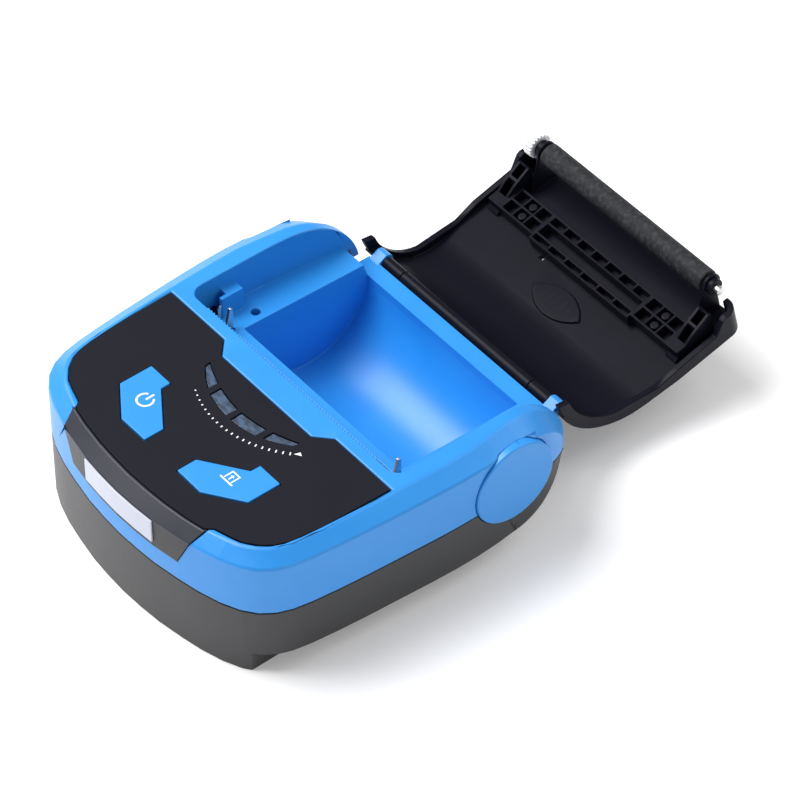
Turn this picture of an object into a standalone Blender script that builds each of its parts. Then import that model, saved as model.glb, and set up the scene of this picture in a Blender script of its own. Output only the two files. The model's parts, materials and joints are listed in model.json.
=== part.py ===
"""Portable thermal receipt printer with its paper cover swung open.

Run it in Blender 4.5. Lengths are metres, Z is up and the front faces -Y. The
origin lies under the middle of the body, on the surface that the sole rests on.
Everything that rides on the cover is built with the cover closed, and one empty
on the hinge axis then swings it open.
"""

import math

import bmesh
import bpy
from mathutils import Matrix, Vector

MM = 0.001

# Small distances used all over: past a face, into a face, and a free fit
overrun = 5.0 * MM
hair = 0.02 * MM
fit_gap = 0.3 * MM
running_gap = 0.08 * MM

# Body envelope
body_half_width = 65.1 * MM
body_front_y = -70.0 * MM
body_height = 51.0 * MM
flat_length = 108.5 * MM
shoulder_drop = 3.9 * MM
rear_arc_radius = 29.5 * MM
parting_drop = 23.6 * MM
parting_gap = 0.3 * MM
shell_wall = 2.2 * MM
arc_y = body_front_y + flat_length
arc_z = body_height - rear_arc_radius
parting_height = body_height - parting_drop
above_body = body_height + 2.0 * overrun

# Half widths, each stepped in from the one outside it
sole_inset = 13.1 * MM
flank_width = 12.1 * MM
bay_rear_inset = 1.7 * MM
cover_side_gap = 0.6 * MM
cover_rear_side_gap = 0.7 * MM
lip_inset = 5.4 * MM
cradle_inset = 12.5 * MM
sole_half_width = body_half_width - sole_inset
bay_half_width = body_half_width - flank_width
bay_rear_half_width = bay_half_width - bay_rear_inset
cover_front_half_width = bay_half_width - cover_side_gap
cover_rear_half_width = bay_rear_half_width - cover_rear_side_gap
lip_half_width = bay_half_width - lip_inset
cradle_half_width = bay_half_width - cradle_inset

# Lower shell: a tray over a narrower sole, both rounded up behind
sole_wall = 1.5 * MM
sole_arc_radius = 29.4 * MM
sole_arc_setback = 0.5 * MM
sole_arc_y = arc_y - sole_arc_setback
tray_floor = 8.0 * MM
tray_arc_radius = 25.0 * MM
tray_centre_z = tray_floor + tray_arc_radius
lower_top = parting_height - parting_gap

# Hinge
hinge_reach = 33.0 * MM
hinge_drop = 22.8 * MM
hinge_y = arc_y + hinge_reach
hinge_z = body_height - hinge_drop
barrel_radius = 2.3 * MM
sleeve_length = 9.0 * MM
sleeve_gap = 0.3 * MM
hinge_pin_radius = 0.9 * MM
hinge_ear_width = 4.6 * MM
hinge_ear_inset = 1.1 * MM
hinge_ear_radius = 3.0 * MM
ear_root = 1.5 * MM
ear_shelf = 0.4 * MM
ear_clearance = 0.6 * MM
cover_swing = math.radians(166.0)
ear_end = lip_half_width - hinge_ear_inset
ear_start = ear_end - hinge_ear_width
sleeve_far = ear_start - sleeve_gap
sleeve_near = sleeve_far - sleeve_length
barrel_half_length = sleeve_near - sleeve_gap

# Platen and its bearings
bay_reach = 40.0 * MM
bay_front_y = arc_y - bay_reach
platen_setback = 3.4 * MM
platen_drop = 16.4 * MM
platen_y = bay_front_y + platen_setback
platen_z = body_height - platen_drop
platen_radius = 4.05 * MM
platen_end_gap = 0.5 * MM
platen_half_length = cradle_half_width - platen_end_gap
platen_chamfer = 0.3 * MM
platen_shaft_radius = 1.5 * MM
arm_gap = 0.9 * MM
arm_wall = 1.2 * MM
arm_inner = platen_half_length + arm_gap
arm_outer = arm_inner + arm_wall
bushing_radius = 3.0 * MM
bushing_neck_radius = 2.25 * MM
bushing_reach = 1.9 * MM
bushing_end = arm_outer + bushing_reach
shaft_left_proud = 5.0 * MM
shaft_right_proud = 2.4 * MM
shaft_left = bushing_end + shaft_left_proud
shaft_right = bushing_end + shaft_right_proud
bushing_side_gap = 0.2 * MM
bushing_seat_radius = 2.45 * MM

# Chassis and latch plates
chassis_wall = 1.1 * MM
chassis_gap = 0.5 * MM
chassis_inner = arm_outer + chassis_gap
chassis_outer = chassis_inner + chassis_wall
chassis_floor_drop = 30.5 * MM
chassis_low = body_height - chassis_floor_drop
chassis_setback = 8.4 * MM
chassis_front_y = bay_front_y - chassis_setback
chassis_floor_reach = 8.9 * MM
chassis_floor_y = bay_front_y + chassis_floor_reach
latch_reach = 9.7 * MM
latch_y = bay_front_y + latch_reach
latch_top_drop = 5.8 * MM
latch_top = body_height - latch_top_drop
latch_waist_drop = 18.0 * MM
latch_shoulder_drop = 10.0 * MM
latch_nose = 1.2 * MM
latch_nose_chamfer = 0.8 * MM
latch_corner = 0.4 * MM
notch_gap = 0.4 * MM
notch_radius = bushing_radius + notch_gap
notch_open = math.radians(30.0)
notch_turn = math.radians(210.0)
latch_slot_margin = 0.5 * MM
latch_slot_front = 7.5 * MM
latch_slot_rear = 10.1 * MM
latch_slot_head = 3.8 * MM

# Paper bay and cradle
bay_corner_radius = 4.5 * MM
bay_taper_start = 8.0 * MM
bay_taper_end = 9.0 * MM
bay_rear_reach = 12.0 * MM
bay_rear_y = hinge_y + bay_rear_reach
bay_wall = bay_half_width + shell_wall
ledge_front_drop = 14.6 * MM
ledge_rear_drop = 16.6 * MM
ledge_front_height = body_height - ledge_front_drop
ledge_rear_height = body_height - ledge_rear_drop
ledge_floor = ledge_rear_height - shell_wall
ledge_root = 1.0 * MM
ledge_overlap = 0.6 * MM
cradle_wall = 1.8 * MM
cradle_centre_setback = 1.9 * MM
cradle_centre_drop = 21.6 * MM
cradle_centre_y = arc_y - cradle_centre_setback
cradle_centre_z = body_height - cradle_centre_drop
cradle_floor_gap = 0.4 * MM
cradle_lip_gap = 0.5 * MM
cradle_lip_depth = 6.4 * MM
cradle_front_gap = 0.7 * MM
cradle_lip_y = hinge_y - barrel_radius - cradle_lip_gap
cradle_radius = min(
    cradle_centre_z - sole_wall - cradle_floor_gap - cradle_wall,
    cradle_lip_y - cradle_lip_depth - cradle_centre_y,
    cradle_centre_y - latch_y - cradle_front_gap - cradle_wall,
)
cradle_outer = cradle_radius + cradle_wall
cradle_front_y = cradle_centre_y - cradle_outer
cradle_rear_y = cradle_centre_y + cradle_radius
cradle_lip_rise = 0.8 * MM
cradle_lip_height = hinge_z + cradle_lip_rise
lip_root = 3.0 * MM
serration_pitch = 1.4 * MM
serration_depth = 0.7 * MM
serration_margin = 8.9 * MM
serration_half_span = bay_half_width - serration_margin

# Cover
cover_front_setback = 1.2 * MM
cover_front_y = bay_front_y + cover_front_setback
cover_arc_reach = 4.5 * MM
cover_arc_centre_y = arc_y + cover_arc_reach
cover_arc_radius = 31.3 * MM
cover_arc_z = body_height - cover_arc_radius
cover_end_turn = math.radians(13.0)
cover_wall = 2.3 * MM
cover_corner_radius = 5.0 * MM
cover_taper_start = 10.0 * MM
cover_taper_end = 12.0 * MM
skirt_wall = 2.2 * MM
skirt_front_drop = 12.0 * MM
skirt_side_drop = 5.2 * MM

arc_steps = 14
round_steps = 32
fine_steps = 20
rim_steps = 48
bow_steps = 12

# Wall outline as shares: x of the body half width, y of the flat length.
wall_shares = (
    (0.0, 0.0), (0.138, 0.003), (0.261, 0.009), (0.415, 0.024), (0.538, 0.039),
    (0.66, 0.061), (0.76, 0.0885), (0.8325, 0.1217), (0.8817, 0.1622),
    (0.9124, 0.2101), (0.9309, 0.2673), (0.9493, 0.3594), (0.9647, 0.4608),
    (0.9785, 0.5714), (0.9908, 0.682), (0.9985, 0.7742), (1.0, 0.8479),
    (0.9939, 0.9309), (0.9831, 1.0),
)
# Top crease outline in the same shares, point for point.
crease_shares = (
    (0.0, 0.047), (0.138, 0.0498), (0.261, 0.0553), (0.3994, 0.0664), (0.5069, 0.0802),
    (0.5991, 0.0977), (0.679, 0.118), (0.7496, 0.1456), (0.8018, 0.1797),
    (0.8326, 0.2212), (0.8495, 0.2765), (0.8633, 0.3594), (0.8756, 0.4608),
    (0.8863, 0.5714), (0.8955, 0.682), (0.9017, 0.7742), (0.9032, 0.8479),
    (0.8909, 0.9309), (0.8756, 1.0),
)
# Share of the half width that the wall and the crease lose along the rear arc.
wall_rear_narrowing_share = 0.095
crease_rear_narrowing_share = 0.055

# Panel, button and window outlines as shares: x of the body half width, y of the
# length from the panel's front edge, just behind the crease, to the bay.
panel_edge = 0.4 * MM
panel_front_y = body_front_y + crease_shares[0][1] * flat_length + panel_edge
panel_shares = (
    (0.0, 0.0), (0.1382, 0.0048), (0.2611, 0.0143), (0.3994, 0.0333), (0.5069, 0.0556),
    (0.5407, 0.0968), (0.6283, 0.1238), (0.6912, 0.1476), (0.7573, 0.2016), (0.8018, 0.2635),
    (0.828, 0.3365), (0.8495, 0.5159), (0.8571, 0.719), (0.8633, 0.9238), (0.4393, 0.9238),
    (0.3533, 0.8413),
)
button_shares = (
    (0.5084, 0.3254), (0.5084, 0.5222), (0.3564, 0.5222), (0.3548, 0.4635), (0.1306, 0.3032),
    (0.1306, 0.1873), (0.3134, 0.1857),
)
inner_window_shares = (
    (0.0192, 0.6762), (0.0968, 0.6841), (0.1751, 0.7), (0.1767, 0.6365), (0.0998, 0.6175),
    (0.0215, 0.6095),
)
outer_window_shares = (
    (0.2197, 0.7127), (0.2842, 0.7365), (0.3487, 0.7667), (0.3456, 0.7381), (0.2842, 0.6921),
    (0.2197, 0.6571),
)
switch_share = (0.3149, 0.3571)
# Trim outline as shares: x of the body half width, z of the upper body's height.
trim_shares = (
    (0.0, 1.0636), (0.5315, 1.0636), (0.5253, 1.0169), (0.4977, 0.839), (0.4132, 0.3432),
    (0.0, 0.3432),
)
# Latch box seen from the side as shares: y of its length, z of its depth.
latch_box_shares = (
    (0.0, 0.96), (0.0575, 1.0), (0.4828, 0.68), (0.7701, 0.34), (1.0, 0.04), (1.0, 0.0),
    (0.0, 0.0),
)


def clear_scene():
    for item in list(bpy.data.objects):
        bpy.data.objects.remove(item, do_unlink=True)
    for item in list(bpy.data.collections):
        bpy.data.collections.remove(item)


def new_collection(name, hidden):
    made = bpy.data.collections.new(name)
    made.hide_render = hidden
    bpy.context.scene.collection.children.link(made)
    return made


clear_scene()
parts = new_collection("portable_thermal_printer", False)
cutters = new_collection("cutters", True)


def material(name, colour, roughness, metallic=0.0):
    made = bpy.data.materials.new(name)
    made.use_nodes = True
    shader = made.node_tree.nodes["Principled BSDF"]
    shader.inputs["Base Color"].default_value = (*colour, 1.0)
    shader.inputs["Roughness"].default_value = roughness
    shader.inputs["Metallic"].default_value = metallic
    return made


blue_plastic = material("blue_plastic", (0.05, 0.33, 0.86), 0.42)
black_plastic = material("black_plastic", (0.012, 0.012, 0.016), 0.38)
panel_black = material("panel_black", (0.014, 0.014, 0.019), 0.5)
charcoal_plastic = material("charcoal_plastic", (0.035, 0.034, 0.038), 0.5)
grey_plastic = material("grey_plastic", (0.06, 0.06, 0.075), 0.4)
white_nylon = material("white_nylon", (0.85, 0.86, 0.84), 0.45)
plate_white = material("plate_white", (0.8, 0.81, 0.84), 0.3)
dark_rubber = material("dark_rubber", (0.03, 0.032, 0.035), 0.85)
bright_steel = material("bright_steel", (0.62, 0.62, 0.63), 0.28, metallic=1.0)
cast_aluminium = material("cast_aluminium", (0.7, 0.71, 0.72), 0.4, metallic=1.0)
smoked_window = material("smoked_window", (0.16, 0.2, 0.26), 0.15)
board_green = material("board_green", (0.02, 0.13, 0.06), 0.5)
cell_wrap = material("cell_wrap", (0.02, 0.09, 0.3), 0.45)
ceramic_strip = material("ceramic_strip", (0.75, 0.72, 0.66), 0.3)

SIDES = ((1.0, "right"), (-1.0, "left"))
# Where a flat outline's two coordinates and its height go for each extrusion axis
AXES = {
    "X": lambda a, b, h: Vector((h, a, b)),
    "Y": lambda a, b, h: Vector((a, h, b)),
    "Z": lambda a, b, h: Vector((a, b, h)),
}
# The turn that lays a solid standing on Z along the named axis
STANDS = {
    "X": Matrix(((0.0, 0.0, 1.0), (1.0, 0.0, 0.0), (0.0, 1.0, 0.0))),
    "Z": Matrix.Identity(3),
}


def to_object(name, bm, group, skin=None, smooth=False):
    bmesh.ops.recalc_face_normals(bm, faces=bm.faces)
    mesh = bpy.data.meshes.new(name)
    bm.to_mesh(mesh)
    bm.free()
    if smooth:
        mesh.shade_smooth()
        mesh.set_sharp_from_angle(angle=math.radians(35.0))
    made = bpy.data.objects.new(name, mesh)
    group.objects.link(made)
    if skin:
        mesh.materials.append(skin)
    if group is cutters:
        made.hide_render = True
        made.display_type = "WIRE"
    return made


def prism(name, outline, axis, low, high, group, skin=None):
    """A straight extrusion of a flat outline along one world axis."""
    place = AXES[axis]
    bm = bmesh.new()
    corners = [bm.verts.new(place(a, b, low)) for a, b in outline]
    rim = [bm.edges.new(pair) for pair in zip(corners, corners[1:] + corners[:1])]
    bmesh.ops.edgeloop_fill(bm, edges=rim)
    grown_up = bmesh.ops.extrude_face_region(bm, geom=bm.faces[:], use_keep_orig=True)
    moved = [item for item in grown_up["geom"] if isinstance(item, bmesh.types.BMVert)]
    bmesh.ops.translate(bm, verts=moved, vec=place(0.0, 0.0, high - low))
    return to_object(name, bm, group, skin)


def box(name, low, high, group, skin=None):
    low, high = Vector(low), Vector(high)
    bm = bmesh.new()
    size = Matrix.Diagonal((*(high - low), 1.0))
    bmesh.ops.create_cube(bm, size=1.0, matrix=Matrix.Translation((low + high) / 2) @ size)
    return to_object(name, bm, group, skin)


def rod(name, axis, a, b, radius, low, high, group, skin=None, steps=round_steps):
    """A round bar between two stations along one world axis."""
    bm = bmesh.new()
    middle = Matrix.Translation(AXES[axis](a, b, (low + high) / 2))
    bmesh.ops.create_cone(
        bm, cap_ends=True, segments=steps, radius1=radius, radius2=radius, depth=high - low,
        matrix=middle @ STANDS[axis].to_4x4(),
    )
    return to_object(name, bm, group, skin, smooth=True)


def turned(name, profile, axis, a, b, group, skin=None, steps=round_steps):
    """A solid of revolution: profile holds (station along the axis, radius) pairs."""
    run = list(profile) if profile[0][0] > profile[-1][0] else list(reversed(profile))
    run = [(run[0][0], 0.0)] + run + [(run[-1][0], 0.0)]
    bm = bmesh.new()
    stops = [bm.verts.new((radius, 0.0, station)) for station, radius in run]
    for pair in zip(stops, stops[1:]):
        bm.edges.new(pair)
    mesh = bpy.data.meshes.new(name)
    bm.to_mesh(mesh)
    bm.free()
    made = bpy.data.objects.new(name, mesh)
    group.objects.link(made)
    made.location = AXES[axis](a, b, 0.0)
    made.rotation_euler = STANDS[axis].to_euler()
    lathe = made.modifiers.new("lathe", "SCREW")
    lathe.steps = steps
    lathe.render_steps = steps
    lathe.use_merge_vertices = True
    lathe.merge_threshold = 0.00001
    if skin:
        mesh.materials.append(skin)
    if group is cutters:
        made.hide_render = True
        made.display_type = "WIRE"
    return made


def circle(a, b, radius, steps, start, turn):
    """Points along an arc, both ends included."""
    angles = [start + turn * i / steps for i in range(steps + 1)]
    return [(a + radius * math.cos(angle), b + radius * math.sin(angle)) for angle in angles]


def boolean(target, tool, operation):
    step = target.modifiers.new(f"{operation.lower()}_{tool.name}", "BOOLEAN")
    step.operation = operation
    step.solver = "EXACT"
    step.object = tool


def cut(target, tool):
    boolean(target, tool, "DIFFERENCE")


def join(target, tool):
    boolean(target, tool, "UNION")


def both_sides(tool):
    """Add the tool's mirror image across the middle plane."""
    step = tool.modifiers.new("other_side", "MIRROR")
    step.use_axis = (True, False, False)
    step.use_mirror_merge = False
    return tool


def repeated(tool, count, pitch):
    """Repeat the tool along X."""
    step = tool.modifiers.new("row", "ARRAY")
    step.count = count
    step.use_relative_offset = False
    step.use_constant_offset = True
    step.constant_offset_displace = (pitch, 0.0, 0.0)
    return tool


def soften(target, width, segments):
    step = target.modifiers.new("edge_round", "BEVEL")
    step.width = width
    step.segments = segments


def span(sign, near, far):
    """Low and high X of a piece that lies between two distances from the middle."""
    return sorted((sign * near, sign * far))


def mirrored(outline):
    """Close a half outline at x >= 0 with its mirror image."""
    left = [(-x, y) for x, y in reversed(outline) if x != 0.0]
    return list(outline) + left


def grown(outline, amount):
    """Move each side of a closed outline outward by the amount."""
    area = sum(
        a[0] * b[1] - b[0] * a[1] for a, b in zip(outline, outline[1:] + outline[:1])
    )
    turn = 1.0 if area > 0 else -1.0
    made = []
    count = len(outline)
    for i in range(count):
        before = Vector(outline[i - 1])
        here = Vector(outline[i])
        after = Vector(outline[(i + 1) % count])
        one = (here - before).normalized()
        two = (after - here).normalized()
        out_one = Vector((one.y, -one.x)) * turn
        out_two = Vector((two.y, -two.x)) * turn
        middle = (out_one + out_two).normalized()
        made.append(tuple(here + middle * (amount / max(middle.dot(out_one), 0.3))))
    return made


def plan_point(share):
    return share[0] * body_half_width, body_front_y + share[1] * flat_length


def on_panel(share):
    return share[0] * body_half_width, panel_front_y + share[1] * (bay_front_y - panel_front_y)


def plan_offset(points, grow):
    """Push an open half outline outward in plan; its first point stays on x = 0."""
    made = []
    for i, here in enumerate(points):
        before = Vector(points[max(i - 1, 0)])
        after = Vector(points[min(i + 1, len(points) - 1)])
        along = (after - before).normalized()
        if i == 0:
            along = Vector((1.0, 0.0))
        if i == len(points) - 1:
            along = Vector((0.0, 1.0))
        made.append((here[0] + along.y * grow, here[1] - along.x * grow))
    return made


def upper_rows(grow, base):
    """Crease, wall top and base rows of the upper body, right half, front to rear."""
    crease = plan_offset([plan_point(s) for s in crease_shares], grow)
    wall = plan_offset([plan_point(s) for s in wall_shares], grow)
    drop = shoulder_drop
    rows = [
        (Vector((a[0], a[1], body_height + grow)), Vector((b[0], b[1], body_height + grow - drop)))
        for a, b in zip(crease, wall)
    ]
    radius = rear_arc_radius + grow
    end = math.asin(max(min((base - arc_z) / radius, 1.0), -1.0))
    inner = rear_arc_radius + grow - drop
    inner_end = math.asin(max(min((base - arc_z) / inner, 1.0), -1.0))
    for i in range(1, arc_steps + 1):
        share = i / arc_steps
        turn = math.pi / 2 - (math.pi / 2 - end) * share
        inner_turn = math.pi / 2 - (math.pi / 2 - inner_end) * share
        narrow = share * share
        a = crease[-1][0] - crease_rear_narrowing_share * body_half_width * share
        b = wall[-1][0] - wall_rear_narrowing_share * body_half_width * narrow
        rows.append(
            (
                Vector((a, arc_y + radius * math.cos(turn), arc_z + radius * math.sin(turn))),
                Vector(
                    (b, arc_y + inner * math.cos(inner_turn), arc_z + inner * math.sin(inner_turn))
                ),
            )
        )
    return rows


def upper_solid(name, grow, base, group, skin=None):
    """The upper body lofted from its crease rows to its wall rows, as one closed solid."""
    rows = upper_rows(grow, base)
    bm = bmesh.new()
    sides = []
    for sign in (1.0, -1.0):
        side = []
        for crease, wall in rows:
            side.append(
                (
                    bm.verts.new((sign * crease.x, crease.y, crease.z)),
                    bm.verts.new((sign * wall.x, wall.y, wall.z)),
                    bm.verts.new((sign * wall.x, wall.y, base)),
                )
            )
        sides.append(side)
    right, left = sides
    last = len(rows) - 1
    for side in sides:
        for i in range(last):
            one, two = side[i], side[i + 1]
            bm.faces.new((one[0], two[0], two[1], one[1]))
            bm.faces.new((one[1], two[1], two[2], one[2]))
    for i in range(last):
        bm.faces.new((right[i][0], left[i][0], left[i + 1][0], right[i + 1][0]))
    for side in sides:
        bm.faces.new((side[last][0], side[last][2], side[last][1]))
    floor = [row[2] for row in right] + [right[last][0], left[last][0]]
    floor += [row[2] for row in reversed(left)]
    bm.faces.new(floor)
    bmesh.ops.remove_doubles(bm, verts=bm.verts, dist=0.1 * hair)
    bmesh.ops.dissolve_degenerate(bm, dist=0.1 * hair, edges=bm.edges)
    return to_object(name, bm, group, skin)


def wall_plan(grow):
    """Plan of the upright walls where the two shells meet."""
    rows = upper_rows(grow, parting_height)
    half = [(wall.x, wall.y) for _, wall in rows]
    half.append((rows[-1][0].x, rows[-1][0].y))
    return mirrored(half)


# Upper shell: a hollow body with the paper bay's block joined inside it
hollow_depth = 4.0 * MM
upper_shell = upper_solid("upper_shell", 0.0, parting_height, parts, blue_plastic)
hollow = upper_solid("upper_hollow", -shell_wall, parting_height - hollow_depth, cutters)
cut(upper_shell, hollow)
bay_block = box(
    "bay_block", (-bay_wall, bay_front_y - shell_wall, ledge_floor),
    (bay_wall, bay_rear_y, body_height + overrun), cutters,
)
bay_limit = upper_solid("bay_limit", -hair, parting_height + hair, cutters)
boolean(bay_block, bay_limit, "INTERSECT")
join(upper_shell, bay_block)

# Cradle under the bay, and the lip that carries the hinge behind it
under_steps = 24


def cradle_profile(radius, top):
    """Side outline of the cradle: round below, straight up at both ends."""
    under = circle(
        cradle_centre_y, cradle_centre_z, radius, under_steps, math.pi, math.pi
    )
    return [(cradle_centre_y - radius, top)] + under + [(cradle_centre_y + radius, top)]


cradle_block_half = cradle_half_width + cradle_wall
cradle_block = prism(
    "cradle_block", cradle_profile(cradle_outer, ledge_rear_height), "X",
    -cradle_block_half, cradle_block_half, cutters,
)
join(upper_shell, cradle_block)
rear_lip = box(
    "rear_lip", (-lip_half_width, cradle_rear_y, parting_height + hair - lip_root),
    (lip_half_width, cradle_lip_y, cradle_lip_height), cutters,
)
join(upper_shell, rear_lip)


def serrated_front():
    """Bay outline in plan: serrated tear edge, rounded front corners, sides that taper in."""
    radius = bay_corner_radius
    right = []
    x = 0.0
    for _ in range(int(serration_half_span / serration_pitch)):
        right.append((x, bay_front_y))
        right.append((x + serration_pitch / 2, bay_front_y + serration_depth))
        x += serration_pitch
    right.append((x, bay_front_y))
    right += circle(
        bay_half_width - radius, bay_front_y + radius, radius, 6, -math.pi / 2, math.pi / 2
    )
    right.append((bay_half_width, arc_y - bay_taper_start))
    right.append((bay_rear_half_width, hinge_y - bay_taper_end))
    right.append((bay_rear_half_width, bay_rear_y + overrun))
    return mirrored(right)


bay_cut = prism("bay_cut", serrated_front(), "Z", ledge_rear_height, above_body, cutters)
cut(upper_shell, bay_cut)
ledge_wedge = prism(
    "ledge_wedge",
    (
        (bay_front_y - ledge_root, ledge_rear_height - ledge_root),
        (cradle_rear_y, ledge_rear_height - ledge_root),
        (cradle_rear_y, ledge_rear_height),
        (bay_front_y - ledge_root, ledge_front_height),
    ),
    "X", -bay_wall, bay_wall, cutters,
)
wedge_half = bay_half_width + ledge_overlap
wedge_limit = box(
    "wedge_limit", (-wedge_half, bay_front_y - ledge_overlap, ledge_floor),
    (wedge_half, cradle_rear_y, ledge_front_height), cutters,
)
boolean(ledge_wedge, wedge_limit, "INTERSECT")
join(upper_shell, ledge_wedge)
cradle_cut = prism(
    "cradle_cut", cradle_profile(cradle_radius, body_height), "X",
    -cradle_half_width, cradle_half_width, cutters,
)
cut(upper_shell, cradle_cut)

# Room for the print mechanism, with slots for its two latch plates
mechanism_side = 1.0 * MM
mechanism_front = 9.0 * MM
mechanism_rear = 1.6 * MM
mechanism_head = 3.6 * MM
mechanism_half = bay_half_width - mechanism_side
mechanism_cut = box(
    "mechanism_cut", (-mechanism_half, bay_front_y - mechanism_front, parting_height - overrun),
    (mechanism_half, cradle_front_y - mechanism_rear, body_height - mechanism_head), cutters,
)
cut(upper_shell, mechanism_cut)
latch_slots = box(
    "latch_slots",
    (chassis_inner - latch_slot_margin, bay_front_y + latch_slot_front, ledge_floor - overrun),
    (chassis_outer + latch_slot_margin, bay_front_y + latch_slot_rear, body_height - latch_slot_head),
    cutters,
)
cut(upper_shell, both_sides(latch_slots))

# Open rear between the bay's sides
rear_root = 2.0 * MM
rear_step = 1.0 * MM
rear_clear = prism(
    "rear_clear",
    (
        (cradle_rear_y + hair, cradle_lip_height),
        (bay_rear_y + overrun, cradle_lip_height),
        (bay_rear_y + overrun, body_height),
        (cradle_rear_y - rear_root, body_height),
        (cradle_rear_y - rear_root, ledge_rear_height + rear_step),
    ),
    "X", -bay_rear_half_width, bay_rear_half_width, cutters,
)
cut(upper_shell, rear_clear)
rear_under = box(
    "rear_under", (-body_half_width - overrun, cradle_lip_y, parting_height - overrun),
    (body_half_width + overrun, bay_rear_y + overrun, body_height), cutters,
)
cut(upper_shell, rear_under)

# Hinge ears on the lip, and the bore through them
ear_outline = (
    [(cradle_lip_y - ear_root, hinge_z - hinge_ear_radius)]
    + circle(hinge_y, hinge_z, hinge_ear_radius, bow_steps, -math.pi / 2, math.pi)
    + [(cradle_lip_y - ear_root, cradle_lip_height - ear_shelf)]
)
hinge_ears = prism("hinge_ears", ear_outline, "X", ear_start, ear_end, cutters)
join(upper_shell, both_sides(hinge_ears))
pin_hole = rod(
    "pin_hole", "X", hinge_y, hinge_z, hinge_pin_radius + running_gap, -bay_wall, bay_wall,
    cutters, steps=fine_steps,
)
cut(upper_shell, pin_hole)

# Guide posts beside the bay, each with a thin lead in front, and the holes in the ledge
guide_inset = 4.4 * MM
guide_lap = 0.4 * MM
guide_inner = bay_half_width - guide_inset
guide_outer = bay_half_width + guide_lap
guide_front = 12.5 * MM
guide_length = 6.0 * MM
guide_root = 1.0 * MM
guide_drop = 6.5 * MM
lead_wall = 1.5 * MM
lead_length = 2.8 * MM
guide_y = bay_front_y + guide_front
guide_low = ledge_rear_height - guide_root
guide_top = body_height - guide_drop
guide_posts = box(
    "guide_posts", (guide_inner, guide_y, guide_low),
    (guide_outer, guide_y + guide_length, guide_top), cutters,
)
join(upper_shell, both_sides(guide_posts))
guide_leads = box(
    "guide_leads", (guide_inner, guide_y - lead_length, guide_low),
    (guide_inner + lead_wall, guide_y + guide_root, guide_top), cutters,
)
join(upper_shell, both_sides(guide_leads))
ledge_hole_setback = 20.2 * MM
ledge_hole_inset = 8.4 * MM
ledge_hole_x = bay_half_width - ledge_hole_inset
ledge_hole_radius = 1.7 * MM
ledge_holes = rod(
    "ledge_holes", "Z", ledge_hole_x, bay_front_y + ledge_hole_setback, ledge_hole_radius,
    ledge_floor - overrun, ledge_front_height + overrun, cutters, steps=fine_steps,
)
cut(upper_shell, both_sides(ledge_holes))

# Hub caps on both flanks, let into both shells
hub_setback = 1.8 * MM
hub_drop = 18.1 * MM
hub_radius = 15.6 * MM
hub_proud = 0.7 * MM
hub_round = 0.5 * MM
hub_round_middle = 0.15 * MM
hub_depth = 1.2 * MM
hub_gap = 0.15 * MM
hub_inward = 7.0 * MM
hub_y = arc_y - hub_setback
hub_z = body_height - hub_drop
hub_face_x = body_half_width + hub_proud
hub_back_x = body_half_width - hub_inward
hub_core = prism("hub_core", wall_plan(-hub_depth), "Z", 0.0, above_body, cutters)
hub_pocket_core = prism(
    "hub_pocket_core", wall_plan(-hub_depth - hub_gap), "Z", 0.0, above_body, cutters
)
hub_pockets = rod(
    "hub_pockets", "X", hub_y, hub_z, hub_radius + fit_gap, hub_back_x,
    body_half_width + overrun, cutters, steps=rim_steps,
)
cut(both_sides(hub_pockets), hub_pocket_core)
cut(upper_shell, hub_pockets)
for sign, side in SIDES:
    cap = turned(
        f"{side}_hub_cap",
        (
            (sign * hub_back_x, hub_radius),
            (sign * (hub_face_x - hub_round), hub_radius),
            (sign * (hub_face_x - hub_round_middle), hub_radius - hub_round_middle),
            (sign * hub_face_x, hub_radius - hub_round),
        ),
        "X", hub_y, hub_z, parts, blue_plastic, steps=rim_steps,
    )
    cut(cap, hub_core)

# Control panel with its openings
panel_thickness = 1.2 * MM
panel_gap = 0.3 * MM
panel_proud = 0.15 * MM
panel_outline = mirrored([on_panel(share) for share in panel_shares])
panel_floor = body_height - panel_thickness
panel_pocket = prism(
    "panel_pocket", grown(panel_outline, panel_gap), "Z", panel_floor - panel_gap,
    above_body, cutters,
)
cut(upper_shell, panel_pocket)
control_panel = prism(
    "control_panel", panel_outline, "Z", panel_floor, body_height + panel_proud, parts, panel_black
)

# Status windows: the inner pair is a full arc step, the outer pair tapers off
window_gap = 0.3 * MM
window_recess = 0.25 * MM
window_depth = 3.4 * MM
window_floor = body_height - window_depth
for label, shares, sign in (
    ("outer_left", outer_window_shares, -1.0), ("inner_left", inner_window_shares, -1.0),
    ("inner_right", inner_window_shares, 1.0), ("outer_right", outer_window_shares, 1.0),
):
    outline = [(sign * x, y) for x, y in (on_panel(share) for share in shares)]
    hole = prism(
        f"{label}_window_hole", grown(outline, window_gap), "Z", window_floor - overrun,
        above_body, cutters,
    )
    cut(control_panel, hole)
    cut(upper_shell, hole)
    prism(
        f"{label}_status_window", outline, "Z", window_floor, body_height - window_recess,
        parts, smoked_window,
    )

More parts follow.
